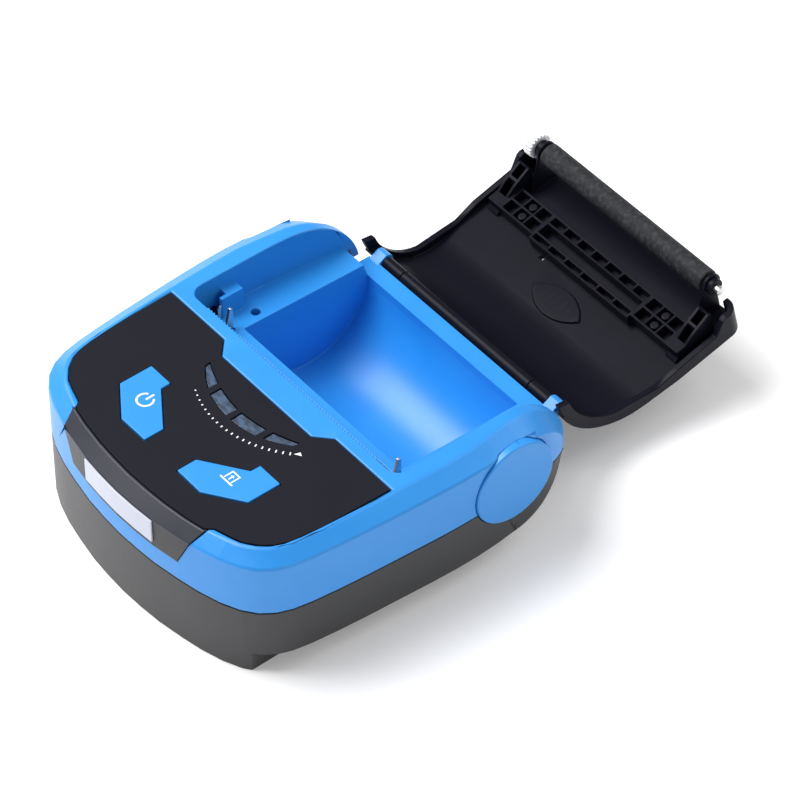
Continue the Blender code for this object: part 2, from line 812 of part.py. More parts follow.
# Circuit board below the panel, held by four posts of the upper shell
board_side_margin = 21.1 * MM
board_half_width = body_half_width - board_side_margin
board_front_margin = 12.0 * MM
board_rear_margin = 12.5 * MM
board_drop = 11.0 * MM
board_thickness = 1.6 * MM
board_front_y = body_front_y + board_front_margin
board_rear_y = bay_front_y - board_rear_margin
board_top = body_height - board_drop
box(
    "circuit_board", (-board_half_width, board_front_y, board_top - board_thickness),
    (board_half_width, board_rear_y, board_top), parts, board_green,
)
post_radius = 2.4 * MM
post_side_margin = 4.5 * MM
post_end_margin = 5.0 * MM
post_root = 2.0 * MM
post_x = board_half_width - post_side_margin
for row, y in (("front", board_front_y + post_end_margin), ("rear", board_rear_y - post_end_margin)):
    posts = rod(
        f"{row}_board_posts", "Z", post_x, y, post_radius, board_top + fit_gap,
        body_height - post_root, cutters, steps=fine_steps,
    )
    join(upper_shell, both_sides(posts))

# Buttons, each with a cap through the panel, a flange below it and a stem to its switch
button_proud = 0.5 * MM
button_travel = 1.0 * MM
button_gap = 0.35 * MM
flange_grow = 1.0 * MM
flange_thickness = 0.9 * MM
flange_shelf = 1.3 * MM
flange_lap = 0.1 * MM
flange_top = panel_floor - panel_gap - flange_shelf
opening_depth = 0.4 * MM
well_depth = 12.0 * MM
stem_radius = 1.7 * MM
stem_lap = 0.2 * MM
switch_size = 6.0 * MM
switch_height = 3.1 * MM
plunger_rise = 1.0 * MM
plunger_root = 0.5 * MM
switch_top = board_top + switch_height
switch_x, switch_y = on_panel(switch_share)


def button_axis(label, sign):
    """An empty on the line that the button slides along."""
    made = bpy.data.objects.new(f"{label}_button_axis", None)
    made.location = (sign * switch_x, switch_y, flange_top)
    parts.objects.link(made)
    return made


def hang(piece, axis_empty):
    """Parent a piece to its joint's empty and leave it where it is."""
    piece.parent = axis_empty
    piece.matrix_parent_inverse = Matrix.Translation(axis_empty.location).inverted()


for label, sign in (("power", -1.0), ("feed", 1.0)):
    outline = [(sign * x, y) for x, y in (on_panel(share) for share in button_shares)]
    opening = prism(
        f"{label}_button_opening", grown(outline, button_gap), "Z", flange_top - opening_depth,
        above_body, cutters,
    )
    cut(control_panel, opening)
    cut(upper_shell, opening)
    well = prism(
        f"{label}_button_well", grown(outline, flange_grow + button_gap), "Z",
        flange_top - well_depth, flange_top + flange_lap, cutters,
    )
    cut(upper_shell, well)
    button = prism(
        f"{label}_button", outline, "Z", flange_top - flange_thickness / 2,
        body_height + button_proud, parts, blue_plastic,
    )
    flange = prism(
        f"{label}_button_flange", grown(outline, flange_grow), "Z",
        flange_top - flange_thickness, flange_top, cutters,
    )
    join(button, flange)
    stem = rod(
        f"{label}_button_stem", "Z", sign * switch_x, switch_y, stem_radius,
        switch_top + button_travel + fit_gap, flange_top - stem_lap, cutters, steps=fine_steps,
    )
    join(button, stem)
    axis_empty = button_axis(label, sign)
    for piece in (button, flange, stem):
        hang(piece, axis_empty)
    half = switch_size / 2
    switch = box(
        f"{label}_switch", (sign * switch_x - half, switch_y - half, board_top + hair),
        (sign * switch_x + half, switch_y + half, switch_top - plunger_rise), parts, black_plastic,
    )
    plunger = rod(
        f"{label}_switch_plunger", "Z", sign * switch_x, switch_y, stem_radius,
        switch_top - plunger_rise - plunger_root, switch_top, cutters, steps=fine_steps,
    )
    join(switch, plunger)

# Front trim and the bare plate on it, both following the shell surface
trim_layer = 1.2 * MM
trim_proud = 0.3 * MM
trim_gap = 0.25 * MM
trim_depth_share = 0.1152
trim_front = body_front_y - overrun
trim_rear = body_front_y + trim_depth_share * flat_length
trim_outline = mirrored(
    [
        (share[0] * body_half_width, parting_height + share[1] * (body_height - parting_height))
        for share in trim_shares
    ]
)
trim_skin = upper_solid("trim_skin", trim_proud, parting_height, cutters)
trim_core = upper_solid("trim_core", -trim_layer, parting_height - hair, cutters)
front_trim = prism("front_trim", trim_outline, "Y", trim_front, trim_rear, parts, grey_plastic)
boolean(front_trim, trim_skin, "INTERSECT")
cut(front_trim, trim_core)
trim_top_cut = box(
    "trim_top_cut", (-body_half_width, trim_front, body_height - hair),
    (body_half_width, trim_rear + overrun, above_body), cutters,
)
cut(front_trim, trim_top_cut)
trim_panel_cut = prism(
    "trim_panel_cut", grown(panel_outline, panel_gap), "Z", parting_height, above_body, cutters
)
cut(front_trim, trim_panel_cut)
trim_recess = prism(
    "trim_recess", grown(trim_outline, trim_gap), "Y", trim_front, trim_rear - hair, cutters
)
recess_core = upper_solid(
    "trim_recess_core", -trim_layer - trim_gap, parting_height - 2.0 * hair, cutters
)
cut(trim_recess, recess_core)
cut(upper_shell, trim_recess)

plate_half_width = 17.2 * MM
plate_low_drop = 13.3 * MM
plate_high_drop = 4.1 * MM
plate_inward = 8.0 * MM
plate_seat = 0.05 * MM
plate_thickness = 0.55 * MM
plate_back = upper_solid("plate_back", trim_proud + plate_seat, parting_height - hair, cutters)
plate_face = upper_solid(
    "plate_face", trim_proud + plate_seat + plate_thickness, parting_height - 2.0 * hair, cutters
)
badge_plate = box(
    "badge_plate", (-plate_half_width, trim_front, body_height - plate_low_drop),
    (plate_half_width, body_front_y + plate_inward, body_height - plate_high_drop),
    parts, plate_white,
)
boolean(badge_plate, plate_face, "INTERSECT")
cut(badge_plate, plate_back)

# Lower shell
rise_steps = 16


def sole_profile(grow, top):
    """Side outline of the sole: flat floor, then an arc up to the rear wall."""
    reach = sole_arc_radius + grow
    arc = circle(sole_arc_y, sole_arc_radius, reach, rise_steps, -math.pi / 2, math.pi / 2)
    front = body_front_y - 2.0 * overrun
    return [(front, sole_arc_radius - reach)] + arc + [(sole_arc_y + reach, top), (front, top)]


def undercut_profile(grow):
    """Side outline of what the flanks leave out: below their floor and behind their arc."""
    radius = tray_arc_radius - grow
    arc = circle(cradle_centre_y, tray_centre_z, radius, rise_steps, -math.pi / 2, math.pi / 2)
    front = body_front_y - 2.0 * overrun
    rear = hinge_y + 3.0 * overrun
    return [(front, tray_floor + grow)] + arc + [(rear, tray_centre_z), (rear, -overrun), (front, -overrun)]


def lower_part(name, grow, top, group, skin=None):
    """The sole across the full plan, with both flanks cut back to their higher floor."""
    solid = prism(name, wall_plan(grow), "Z", -overrun, top, group, skin)
    wide = body_half_width + overrun
    limit = prism(
        f"{name}_profile", sole_profile(grow, max(top, tray_centre_z) + overrun), "X", -wide, wide, cutters
    )
    boolean(solid, limit, "INTERSECT")
    flanks = prism(
        f"{name}_flanks", undercut_profile(-grow), "X", sole_half_width + grow, wide, cutters
    )
    cut(solid, both_sides(flanks))
    return solid


hollow_rise = 4.0 * MM
lower_shell = lower_part("lower_shell", 0.0, lower_top, parts, charcoal_plastic)
lower_hollow = lower_part("lower_hollow", -sole_wall, lower_top + hollow_rise, cutters)
cut(lower_shell, lower_hollow)
cut(lower_shell, hub_pockets)
lip_clear_side = 0.4 * MM
lip_clear_front = 0.5 * MM
lip_clear_depth = 3.4 * MM
lip_clear_rear = 9.0 * MM
lip_clear_y = hinge_y + lip_clear_rear
lip_clear = box(
    "lip_clear",
    (-bay_wall - lip_clear_side, cradle_rear_y - lip_clear_front, parting_height - lip_clear_depth),
    (bay_wall + lip_clear_side, lip_clear_y, body_height), cutters,
)
cut(lower_shell, lip_clear)
tail_front = 8.6 * MM
tail_depth = 7.0 * MM
tail_clear = box(
    "tail_clear", (lip_half_width - fit_gap, hinge_y - tail_front, hinge_z - tail_depth),
    (bay_rear_half_width, lip_clear_y, body_height), cutters,
)
both_sides(tail_clear)
cut(lower_shell, tail_clear)
cut(upper_shell, tail_clear)

# Battery in the sole and the cover that closes it from below
battery_side_margin = 17.0 * MM
battery_half_width = sole_half_width - battery_side_margin
battery_front_margin = 13.0 * MM
battery_rear_margin = 3.5 * MM
battery_lift = 0.5 * MM
battery_headroom = 1.5 * MM
battery_round = 2.0 * MM
hatch_margin = 2.0 * MM
hatch_rise = 0.2 * MM
battery_front_y = body_front_y + battery_front_margin
battery_rear_y = bay_front_y - battery_rear_margin
hatch_half = battery_half_width + hatch_margin
battery_hatch = box(
    "battery_hatch", (-hatch_half, battery_front_y - hatch_margin, -overrun),
    (hatch_half, battery_rear_y + hatch_margin, sole_wall + battery_lift), cutters,
)
cut(lower_shell, battery_hatch)
box(
    "battery_cover",
    (-hatch_half + fit_gap, battery_front_y - hatch_margin + fit_gap, hatch_rise),
    (hatch_half - fit_gap, battery_rear_y + hatch_margin - fit_gap, hatch_rise + sole_wall),
    parts, charcoal_plastic,
)
battery_pack = box(
    "battery_pack", (-battery_half_width, battery_front_y, sole_wall + battery_lift),
    (battery_half_width, battery_rear_y, chassis_low - battery_headroom), parts, cell_wrap,
)
soften(battery_pack, battery_round, 3)

# Print head: ceramic strip on an aluminium heat spreader
head_gap = 0.25 * MM
head_strip = 1.2 * MM
head_margin = 0.6 * MM
head_low_drop = 26.0 * MM
head_high_drop = 7.5 * MM
spreader_thickness = 2.4 * MM
spreader_margin = 0.8 * MM
spreader_step = 1.0 * MM
head_face_y = platen_y - platen_radius - head_gap
head_half = platen_half_length + head_margin
head_high = body_height - head_high_drop
box(
    "print_head", (-head_half, head_face_y - head_strip, body_height - head_low_drop),
    (head_half, head_face_y, head_high), parts, ceramic_strip,
)
spreader_face_y = head_face_y - head_strip - hair
spreader_half = head_half + spreader_margin
box(
    "heat_spreader",
    (-spreader_half, spreader_face_y - spreader_thickness, chassis_low + chassis_wall + fit_gap),
    (spreader_half, spreader_face_y, head_high - spreader_step), parts, cast_aluminium,
)

# Chassis: a steel channel whose end plates latch the platen bushings
chassis = box(
    "mechanism_chassis", (-chassis_outer, chassis_front_y, chassis_low),
    (chassis_outer, chassis_floor_y, chassis_low + chassis_wall), parts, bright_steel,
)
latch_shoulder = body_height - latch_shoulder_drop
latch_outline = (
    [
        (chassis_front_y, chassis_low),
        (chassis_floor_y, chassis_low),
        (latch_y, body_height - latch_waist_drop),
        (latch_y, latch_top - latch_nose_chamfer),
        (latch_y - latch_corner, latch_top),
        (latch_y - latch_nose, latch_top),
    ]
    + circle(platen_y, platen_z, notch_radius, bow_steps, notch_open, -notch_turn)
    + [(platen_y - notch_radius, latch_shoulder), (chassis_front_y, latch_shoulder)]
)
latch_plates = prism("latch_plates", latch_outline, "X", chassis_inner, chassis_outer, cutters)
join(chassis, both_sides(latch_plates))

# Drive: motor, pinion and idler beside the chassis
motor_radius = 8.2 * MM
motor_length = 24.0 * MM
motor_chamfer = 0.5 * MM
motor_boss_radius = 3.0 * MM
motor_boss_length = 1.0 * MM
motor_setback = 16.9 * MM
motor_drop = 21.8 * MM
gear_gap = 0.4 * MM
gear_width = 3.6 * MM
gear_reach = bushing_end + gear_gap + gear_width / 2
gear_standoff = 3.2 * MM
tooth_depth = 0.9 * MM
mesh_depth = 0.6 * MM
platen_gear_radius = 4.75 * MM
platen_gear_teeth = 20
pinion_radius = 3.6 * MM
pinion_teeth = 14
idler_radius = 6.8 * MM
idler_teeth = 28
idler_hub_radius = 2.6 * MM
idler_hub_proud = 0.4 * MM
axle_radius = 1.0 * MM
axle_proud = 0.8 * MM
axle_root = 1.0 * MM
motor_y = bay_front_y - motor_setback
motor_z = body_height - motor_drop
motor_face_x = gear_standoff - gear_reach
motor_rear_x = motor_face_x + motor_length
gear_low = -gear_reach - gear_width / 2
gear_high = -gear_reach + gear_width / 2
idler_y = motor_y + pinion_radius + idler_radius - mesh_depth
drive_motor = turned(
    "drive_motor",
    (
        (motor_face_x, motor_radius - motor_chamfer),
        (motor_face_x + motor_chamfer, motor_radius),
        (motor_rear_x, motor_radius),
        (motor_rear_x, motor_boss_radius),
        (motor_rear_x + motor_boss_length, motor_boss_radius),
    ),
    "X", motor_y, motor_z, parts, bright_steel,
)


def gear_outline(a, b, tip_radius, teeth, phase_share=0.0):
    """Trapezoid teeth on a round blank, turned on by a share of one tooth."""
    root = tip_radius - tooth_depth
    step = 2.0 * math.pi / teeth
    made = []
    for i in range(teeth):
        base = step * (i + phase_share)
        for share, radius in ((-0.3, root), (-0.14, tip_radius), (0.14, tip_radius), (0.3, root)):
            angle = base + share * step
            made.append((a + radius * math.cos(angle), b + radius * math.sin(angle)))
    return made


motor_pinion = prism(
    "motor_pinion", gear_outline(motor_y, motor_z, pinion_radius, pinion_teeth), "X",
    gear_low, gear_high, parts, bright_steel,
)
idler_gear = prism(
    "idler_gear", gear_outline(idler_y, motor_z, idler_radius, idler_teeth, 0.5), "X",
    gear_low, gear_high, parts, white_nylon,
)
idler_hub = rod(
    "idler_hub", "X", idler_y, motor_z, idler_hub_radius, gear_low - idler_hub_proud,
    gear_high + idler_hub_proud, cutters,
)
join(idler_gear, idler_hub)
for gear, label, y, carrier, root_x in (
    (motor_pinion, "pinion", motor_y, drive_motor, motor_face_x + axle_root),
    (idler_gear, "idler", idler_y, chassis, -chassis_inner - chassis_wall / 2),
):
    gear_axis = bpy.data.objects.new(f"{label}_axis", None)
    gear_axis.location = (-gear_reach, y, motor_z)
    parts.objects.link(gear_axis)
    hang(gear, gear_axis)
    bore = rod(
        f"{label}_bore", "X", y, motor_z, axle_radius + running_gap, gear_low - overrun,
        gear_high + overrun, cutters, steps=fine_steps,
    )
    cut(gear, bore)
    axle = rod(
        f"{label}_axle", "X", y, motor_z, axle_radius, gear_low - axle_proud, root_x, cutters,
        steps=fine_steps,
    )
    join(carrier, axle)

# Hinge pin and the two fixed sleeves outside the cover's own barrel
pin_end_inset = 0.4 * MM
pin_half_length = ear_end - pin_end_inset
rod(
    "hinge_pin", "X", hinge_y, hinge_z, hinge_pin_radius, -pin_half_length, pin_half_length,
    parts, bright_steel, steps=fine_steps,
)
sleeve_bore = rod(
    "sleeve_bore", "X", hinge_y, hinge_z, hinge_pin_radius + running_gap, -ear_end, ear_end,
    cutters, steps=fine_steps,
)
for sign, side in SIDES:
    near, far = span(sign, sleeve_near, sleeve_far)
    sleeve = rod(
        f"{side}_hinge_sleeve", "X", hinge_y, hinge_z, barrel_radius, near, far, parts, black_plastic
    )
    cut(sleeve, sleeve_bore)

# Cover, built closed: arched skin, side skirts, front corners, barrel and bearing arms
cover_pieces = []


def on_cover(piece):
    cover_pieces.append(piece)
    return piece


def arch(radius, start, stop, steps=fine_steps):
    return circle(cover_arc_centre_y, cover_arc_z, radius, steps, start, stop - start)


skin_profile = (
    [(cover_front_y, body_height)]
    + arch(cover_arc_radius, math.pi / 2, cover_end_turn)
    + arch(cover_arc_radius - cover_wall, cover_end_turn, math.pi / 2)
    + [(cover_front_y, body_height - cover_wall)]
)
cover_plan = mirrored(
    [(0.0, cover_front_y)]
    + circle(
        cover_front_half_width - cover_corner_radius, cover_front_y + cover_corner_radius,
        cover_corner_radius, 8, -math.pi / 2, math.pi / 2,
    )
    + [
        (cover_front_half_width, arc_y - cover_taper_start),
        (cover_rear_half_width, hinge_y - cover_taper_end),
        (cover_rear_half_width, hinge_y + cover_taper_end),
        (0.0, hinge_y + cover_taper_end),
    ]
)
lid_shell = on_cover(
    prism(
        "lid_shell", skin_profile, "X", -cover_front_half_width, cover_front_half_width,
        parts, black_plastic,
    )
)
skirt_top = 0.5 * MM
skirt_inset = 2.4 * MM
skirt_end_turn = math.radians(2.0)
skirt_inner_turn = math.radians(6.0)
skirt_inner_stop = math.radians(64.0)
skirt_steps = 12
skirt_neck_reach = 6.0 * MM
skirt_neck_rise = 1.4 * MM
skirt_waist_y = 28.3 * MM
skirt_step_y = 11.3 * MM
skirt_step_drop = 0.6 * MM
skirt_cheek_y = 7.8 * MM
skirt_cheek_rise = 1.6 * MM
skirt_foot_y = 4.3 * MM
skirt_side = body_height - skirt_side_drop
skirt_foot = body_height - skirt_front_drop
skirt_profile = (
    [(cover_front_y, body_height - skirt_top)]
    + arch(cover_arc_radius - skirt_top, math.pi / 2, skirt_end_turn)
    + arch(
        cover_arc_radius - cover_wall - skirt_inset, skirt_inner_turn, skirt_inner_stop, skirt_steps
    )
    + [
        (cover_arc_centre_y - skirt_neck_reach, skirt_side + skirt_neck_rise),
        (cover_front_y + skirt_waist_y, skirt_side),
        (cover_front_y + skirt_step_y, skirt_side - skirt_step_drop),
        (cover_front_y + skirt_cheek_y, skirt_foot + skirt_cheek_rise),
        (cover_front_y + skirt_foot_y, skirt_foot),
        (cover_front_y, skirt_foot),
    ]
)
skirt = on_cover(
    prism(
        "cover_skirt", skirt_profile, "X", -cover_front_half_width, cover_front_half_width, cutters
    )
)
skirt_inside = on_cover(
    prism("skirt_inside", grown(cover_plan, -skirt_wall), "Z", 0.0, above_body, cutters)
)
cut(skirt, skirt_inside)
join(lid_shell, skirt)
plan_limit = on_cover(prism("cover_plan_limit", cover_plan, "Z", 0.0, above_body, cutters))
boolean(lid_shell, plan_limit, "INTERSECT")

nose_inset = 6.2 * MM
nose_half_width = cover_front_half_width - nose_inset
nose_lap = 0.2 * MM
nose_cut = on_cover(
    box(
        "nose_cut", (-nose_half_width, cover_front_y - overrun, skirt_foot - overrun),
        (nose_half_width, cover_front_y + skirt_wall + nose_lap, body_height - cover_wall), cutters,
    )
)
cut(lid_shell, nose_cut)
shaft_slot_half = 3.6 * MM
shaft_slot_rise = 5.4 * MM
shaft_slot = on_cover(
    box(
        "shaft_slot", (-body_half_width, platen_y - shaft_slot_half, platen_z - overrun),
        (body_half_width, platen_y + shaft_slot_half, platen_z + shaft_slot_rise), cutters,
    )
)
cut(lid_shell, shaft_slot)

# Bearing arms inside the cover, one at each end of the platen
arm_front = 0.6 * MM
arm_root = 0.8 * MM
arm_neck_rise = 6.4 * MM
arm_radius = 3.9 * MM
arm_start = math.radians(140.0)
arm_turn = math.radians(220.0)
arm_cheek_reach = 6.0 * MM
arm_cheek_rise = 6.0 * MM
arm_root_reach = 11.4 * MM
arm_top = body_height - arm_root
arm_outline = (
    [(cover_front_y + arm_front, arm_top), (cover_front_y + arm_front, platen_z + arm_neck_rise)]
    + circle(platen_y, platen_z, arm_radius, bow_steps, arm_start, arm_turn)
    + [(platen_y + arm_cheek_reach, platen_z + arm_cheek_rise), (platen_y + arm_root_reach, arm_top)]
)
arms = on_cover(prism("bearing_arms", arm_outline, "X", arm_inner, arm_outer, cutters))
join(lid_shell, both_sides(arms))
bearing_seats = on_cover(
    rod(
        "bearing_seats", "X", platen_y, platen_z, bushing_seat_radius, -arm_outer - hair,
        arm_outer + hair, cutters, steps=under_steps,
    )
)
cut(lid_shell, bearing_seats)

barrel = on_cover(
    rod(
        "cover_barrel", "X", hinge_y, hinge_z, barrel_radius, -barrel_half_length,
        barrel_half_length, cutters,
    )
)
join(lid_shell, barrel)
barrel_bore = on_cover(
    rod(
        "barrel_bore", "X", hinge_y, hinge_z, hinge_pin_radius + running_gap, -sleeve_near,
        sleeve_near, cutters, steps=fine_steps,
    )
)
cut(lid_shell, barrel_bore)
ear_clear = on_cover(
    rod(
        "ear_clear", "X", hinge_y, hinge_z, hinge_ear_radius + ear_clearance,
        barrel_half_length + sleeve_gap / 2, ear_end + ear_clearance, cutters,
    )
)
cut(lid_shell, both_sides(ear_clear))

# Finger recess: an eye-shaped dish pressed into the skin, seen as a boss inside
eye_setback = 36.9 * MM
eye_half_length = 11.0 * MM
eye_half_height = 5.0 * MM
eye_rim = 0.9 * MM
eye_boss_depth = 0.9 * MM
eye_boss_root = 1.0 * MM
eye_dish_depth = 1.9 * MM
eye_centre_y = cover_front_y + eye_setback
eye_steps = 10


def eye_outline(grow):
    """Two bows that meet in points at the eye's ends."""
    half_length = eye_half_length + grow
    half_height = eye_half_height + grow
    bow = (half_length**2 + half_height**2) / (2.0 * half_height)
    reach = math.asin(half_length / bow)
    turn = 2.0 * reach
    rear_y = eye_centre_y + half_height - bow
    front_y = eye_centre_y - half_height + bow
    rear = circle(0.0, rear_y, bow, eye_steps, math.pi / 2 - reach, turn)
    front = circle(0.0, front_y, bow, eye_steps, -math.pi / 2 - reach, turn)
    return rear + front[1:-1]


eye_boss = on_cover(
    prism(
        "eye_boss", eye_outline(eye_rim), "Z", body_height - cover_wall - eye_boss_depth,
        body_height - eye_boss_root, cutters,
    )
)
join(lid_shell, eye_boss)
eye_dish = on_cover(
    prism("eye_dish", eye_outline(0.0), "Z", body_height - eye_dish_depth, above_body, cutters)
)
cut(lid_shell, eye_dish)
locating_hole_x = 17.2 * MM
locating_hole_width = 1.7 * MM
locating_hole_setback = 26.5 * MM
locating_hole_depth = 1.5 * MM
locating_hole_y = cover_front_y + locating_hole_setback
locating_hole = on_cover(
    box(
        "locating_hole",
        (-locating_hole_x - locating_hole_width, locating_hole_y, body_height - overrun),
        (-locating_hole_x, locating_hole_y + locating_hole_depth, above_body), cutters,
    )
)
cut(lid_shell, locating_hole)

# Ribbed frame inside the cover: a thick plate with its cells let in from below
frame_plate = 0.8 * MM
frame_seat = 0.3 * MM
frame_depth = 4.4 * MM
rib = 0.8 * MM
frame_lap = 0.3 * MM
end_grid_width = 17.4 * MM
frame_half = arm_outer + frame_lap
slot_half = frame_half - end_grid_width
frame_setback = 14.1 * MM
front_row_depth = 3.6 * MM
slot_depth = 5.2 * MM
rear_row_depth = 3.6 * MM
end_depth = 10.8 * MM
front_cells = 7
rear_cells = 6
end_cells = 3
frame_top = body_height - cover_wall - frame_seat
frame_low = frame_top - frame_depth
cell_roof = frame_top - frame_plate
row_front = cover_front_y + frame_setback
row_slot_front = row_front + front_row_depth
row_slot_rear = row_slot_front + slot_depth
row_rear = row_slot_rear + rear_row_depth
end_rear = row_front + end_depth
end_middle = row_front + end_depth / 2
lid_frame = on_cover(
    prism(
        "lid_frame",
        mirrored(
            [
                (0.0, row_front), (frame_half, row_front), (frame_half, end_rear),
                (slot_half, end_rear), (slot_half, row_rear), (0.0, row_rear),
            ]
        ),
        "Z", frame_low, frame_top, parts, black_plastic,
    )
)
frame_slot = on_cover(
    box(
        "frame_slot", (-slot_half + rib, row_slot_front + rib, frame_low - overrun),
        (slot_half - rib, row_slot_rear, frame_top + overrun), cutters,
    )
)
cut(lid_frame, frame_slot)


def cells(name, low_x, high_x, count, front, rear):
    """A row of equal cells, with one rib between neighbours."""
    pitch = (high_x - low_x + rib) / count
    tool = on_cover(
        box(
            name, (low_x, front, frame_low - overrun), (low_x + pitch - rib, rear, cell_roof), cutters
        )
    )
    return repeated(tool, count, pitch)


inner_half = slot_half - rib
cut(lid_frame, cells("front_cells", -inner_half, inner_half, front_cells, row_front + rib, row_slot_front))
cut(
    lid_frame,
    cells("rear_cells", -inner_half, inner_half, rear_cells, row_slot_rear + rib, row_rear - rib),
)
end_low = slot_half + rib
end_high = frame_half - rib
boss_radius = 1.5 * MM
boss_short = 0.6 * MM
for label, front, rear in (
    ("front", row_front + rib, end_middle - rib / 2), ("rear", end_middle + rib / 2, end_rear - rib)
):
    row = cells(f"{label}_end_cells", end_low, end_high, end_cells, front, rear)
    cut(lid_frame, both_sides(row))
    boss = on_cover(
        rod(
            f"{label}_frame_bosses", "Z", (end_low + end_high) / 2, (front + rear) / 2, boss_radius,
            frame_low + boss_short, cell_roof + hair, cutters, steps=fine_steps,
        )
    )
    join(lid_frame, both_sides(boss))

# Latch boxes at the frame's ends, each with two cells and a cross web
latch_box_step = 0.4 * MM
latch_box_gap = 0.5 * MM
latch_box_near = frame_half + latch_box_step
latch_box_far = guide_inner - latch_box_gap
latch_box_setback = 8.9 * MM
latch_box_length = 17.4 * MM
latch_box_depth = 10.0 * MM
latch_box_wall = 1.0 * MM
latch_box_roof = 1.2 * MM
latch_cell_lengths = (4.6 * MM, 5.2 * MM)
bridge_setback = 15.3 * MM
bridge_length = 9.6 * MM
bridge_lap = 1.0 * MM
bridge_seat = 0.1 * MM
latch_box_front = cover_front_y + latch_box_setback
latch_boxes = on_cover(
    prism(
        "latch_boxes",
        [
            (latch_box_front + share[0] * latch_box_length, frame_top - share[1] * latch_box_depth)
            for share in latch_box_shares
        ],
        "X", latch_box_near, latch_box_far, cutters,
    )
)
join(lid_frame, both_sides(latch_boxes))
bridges = on_cover(
    box(
        "box_bridges", (frame_half - bridge_lap, cover_front_y + bridge_setback, frame_low),
        (latch_box_far, cover_front_y + bridge_setback + bridge_length, frame_top - bridge_seat),
        cutters,
    )
)
join(lid_frame, both_sides(bridges))
cell_front = latch_box_front + latch_box_wall
for label, length in zip(("front", "rear"), latch_cell_lengths):
    latch_cells = on_cover(
        box(
            f"{label}_latch_cells",
            (latch_box_near + latch_box_wall, cell_front, frame_top - latch_box_depth - overrun),
            (latch_box_far - latch_box_wall, cell_front + length, frame_top - latch_box_roof),
            cutters,
        )
    )
    cut(lid_frame, both_sides(latch_cells))
    cell_front += length + latch_box_wall

# Platen: rubber roller on a steel shaft with a nylon gear, in two bushings
platen_axis = bpy.data.objects.new("platen_axis", None)
platen_axis.location = (0.0, platen_y, platen_z)
parts.objects.link(platen_axis)
on_cover(platen_axis)
shaft_bore_radius = platen_shaft_radius + hair
platen_roller = turned(
    "platen_roller",
    (
        (-platen_half_length, platen_radius - platen_chamfer),
        (-platen_half_length + platen_chamfer, platen_radius),
        (platen_half_length - platen_chamfer, platen_radius),
        (platen_half_length, platen_radius - platen_chamfer),
    ),
    "X", platen_y, platen_z, parts, dark_rubber,
)
shaft_bore = rod(
    "shaft_bore", "X", platen_y, platen_z, shaft_bore_radius, -shaft_left, shaft_left, cutters,
    steps=fine_steps,
)
cut(platen_roller, shaft_bore)
platen_shaft = rod(
    "platen_shaft", "X", platen_y, platen_z, platen_shaft_radius, -shaft_left, shaft_right,
    parts, bright_steel, steps=fine_steps,
)
platen_gear = prism(
    "platen_gear", gear_outline(platen_y, platen_z, platen_gear_radius, platen_gear_teeth), "X",
    gear_low, gear_high, parts, white_nylon,
)
cut(platen_gear, shaft_bore)
for piece in (platen_roller, shaft_bore, platen_shaft, platen_gear):
    hang(piece, platen_axis)
bushing_step = 0.25 * MM
bushing_bore = on_cover(
    rod(
        "bushing_bore", "X", platen_y, platen_z, platen_shaft_radius + running_gap, -shaft_left,
        shaft_left, cutters, steps=fine_steps,
    )
)
for sign, side in SIDES:
    middle = sign * (arm_outer + bushing_step)
    bushing = on_cover(
        turned(
            f"{side}_platen_bushing",
            (
                (sign * (arm_inner - bushing_side_gap), bushing_neck_radius),
                (middle, bushing_neck_radius),
                (middle, bushing_radius),
                (sign * bushing_end, bushing_radius),
            ),
            "X", platen_y, platen_z, parts, black_plastic,
        )
    )
    cut(bushing, bushing_bore)

# Rubber feet let into the sole
foot_radius = 4.0 * MM
foot_recess = 0.9 * MM
foot_seat_gap = 0.25 * MM
foot_inset = 10.0 * MM
foot_front_margin = 16.0 * MM
foot_rear_margin = 12.0 * MM
foot_x = sole_half_width - foot_inset
for row, y in (
    ("front", body_front_y + foot_front_margin), ("rear", sole_arc_y - foot_rear_margin)
):
    seats = rod(
        f"{row}_foot_seats", "Z", foot_x, y, foot_radius + foot_seat_gap, -overrun, foot_recess, cutters
    )
    cut(lower_shell, both_sides(seats))
    for sign, side in SIDES:
        rod(
            f"{row}_{side}_foot", "Z", sign * foot_x, y, foot_radius, 0.0, foot_recess - hair,
            parts, dark_rubber,
        )

# Swing the cover open about its pin
hinge_axis = bpy.data.objects.new("hinge_axis", None)
parts.objects.link(hinge_axis)
pivot = Matrix.Translation((0.0, hinge_y, hinge_z))
for piece in cover_pieces:
    piece.parent = hinge_axis
    piece.matrix_parent_inverse = pivot.inverted()
hinge_axis.matrix_world = pivot @ Matrix.Rotation(-cover_swing, 4, "X")
bpy.context.view_layer.update()
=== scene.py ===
"""Looks of a portable receipt printer with its paper cover swung open.

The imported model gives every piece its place. This script rounds the moulded edges,
gives each surface its finish, prints the marks on the control panel and sets up a
plain studio at the photograph's viewing angle. Lengths are metres, Z is up and the
front of the printer faces -Y.
"""

from __future__ import annotations

import json
import logging
import math
from dataclasses import dataclass, field
from enum import Enum
from typing import Callable, Iterable, Sequence

import bmesh
import bpy
from mathutils import Matrix, Vector

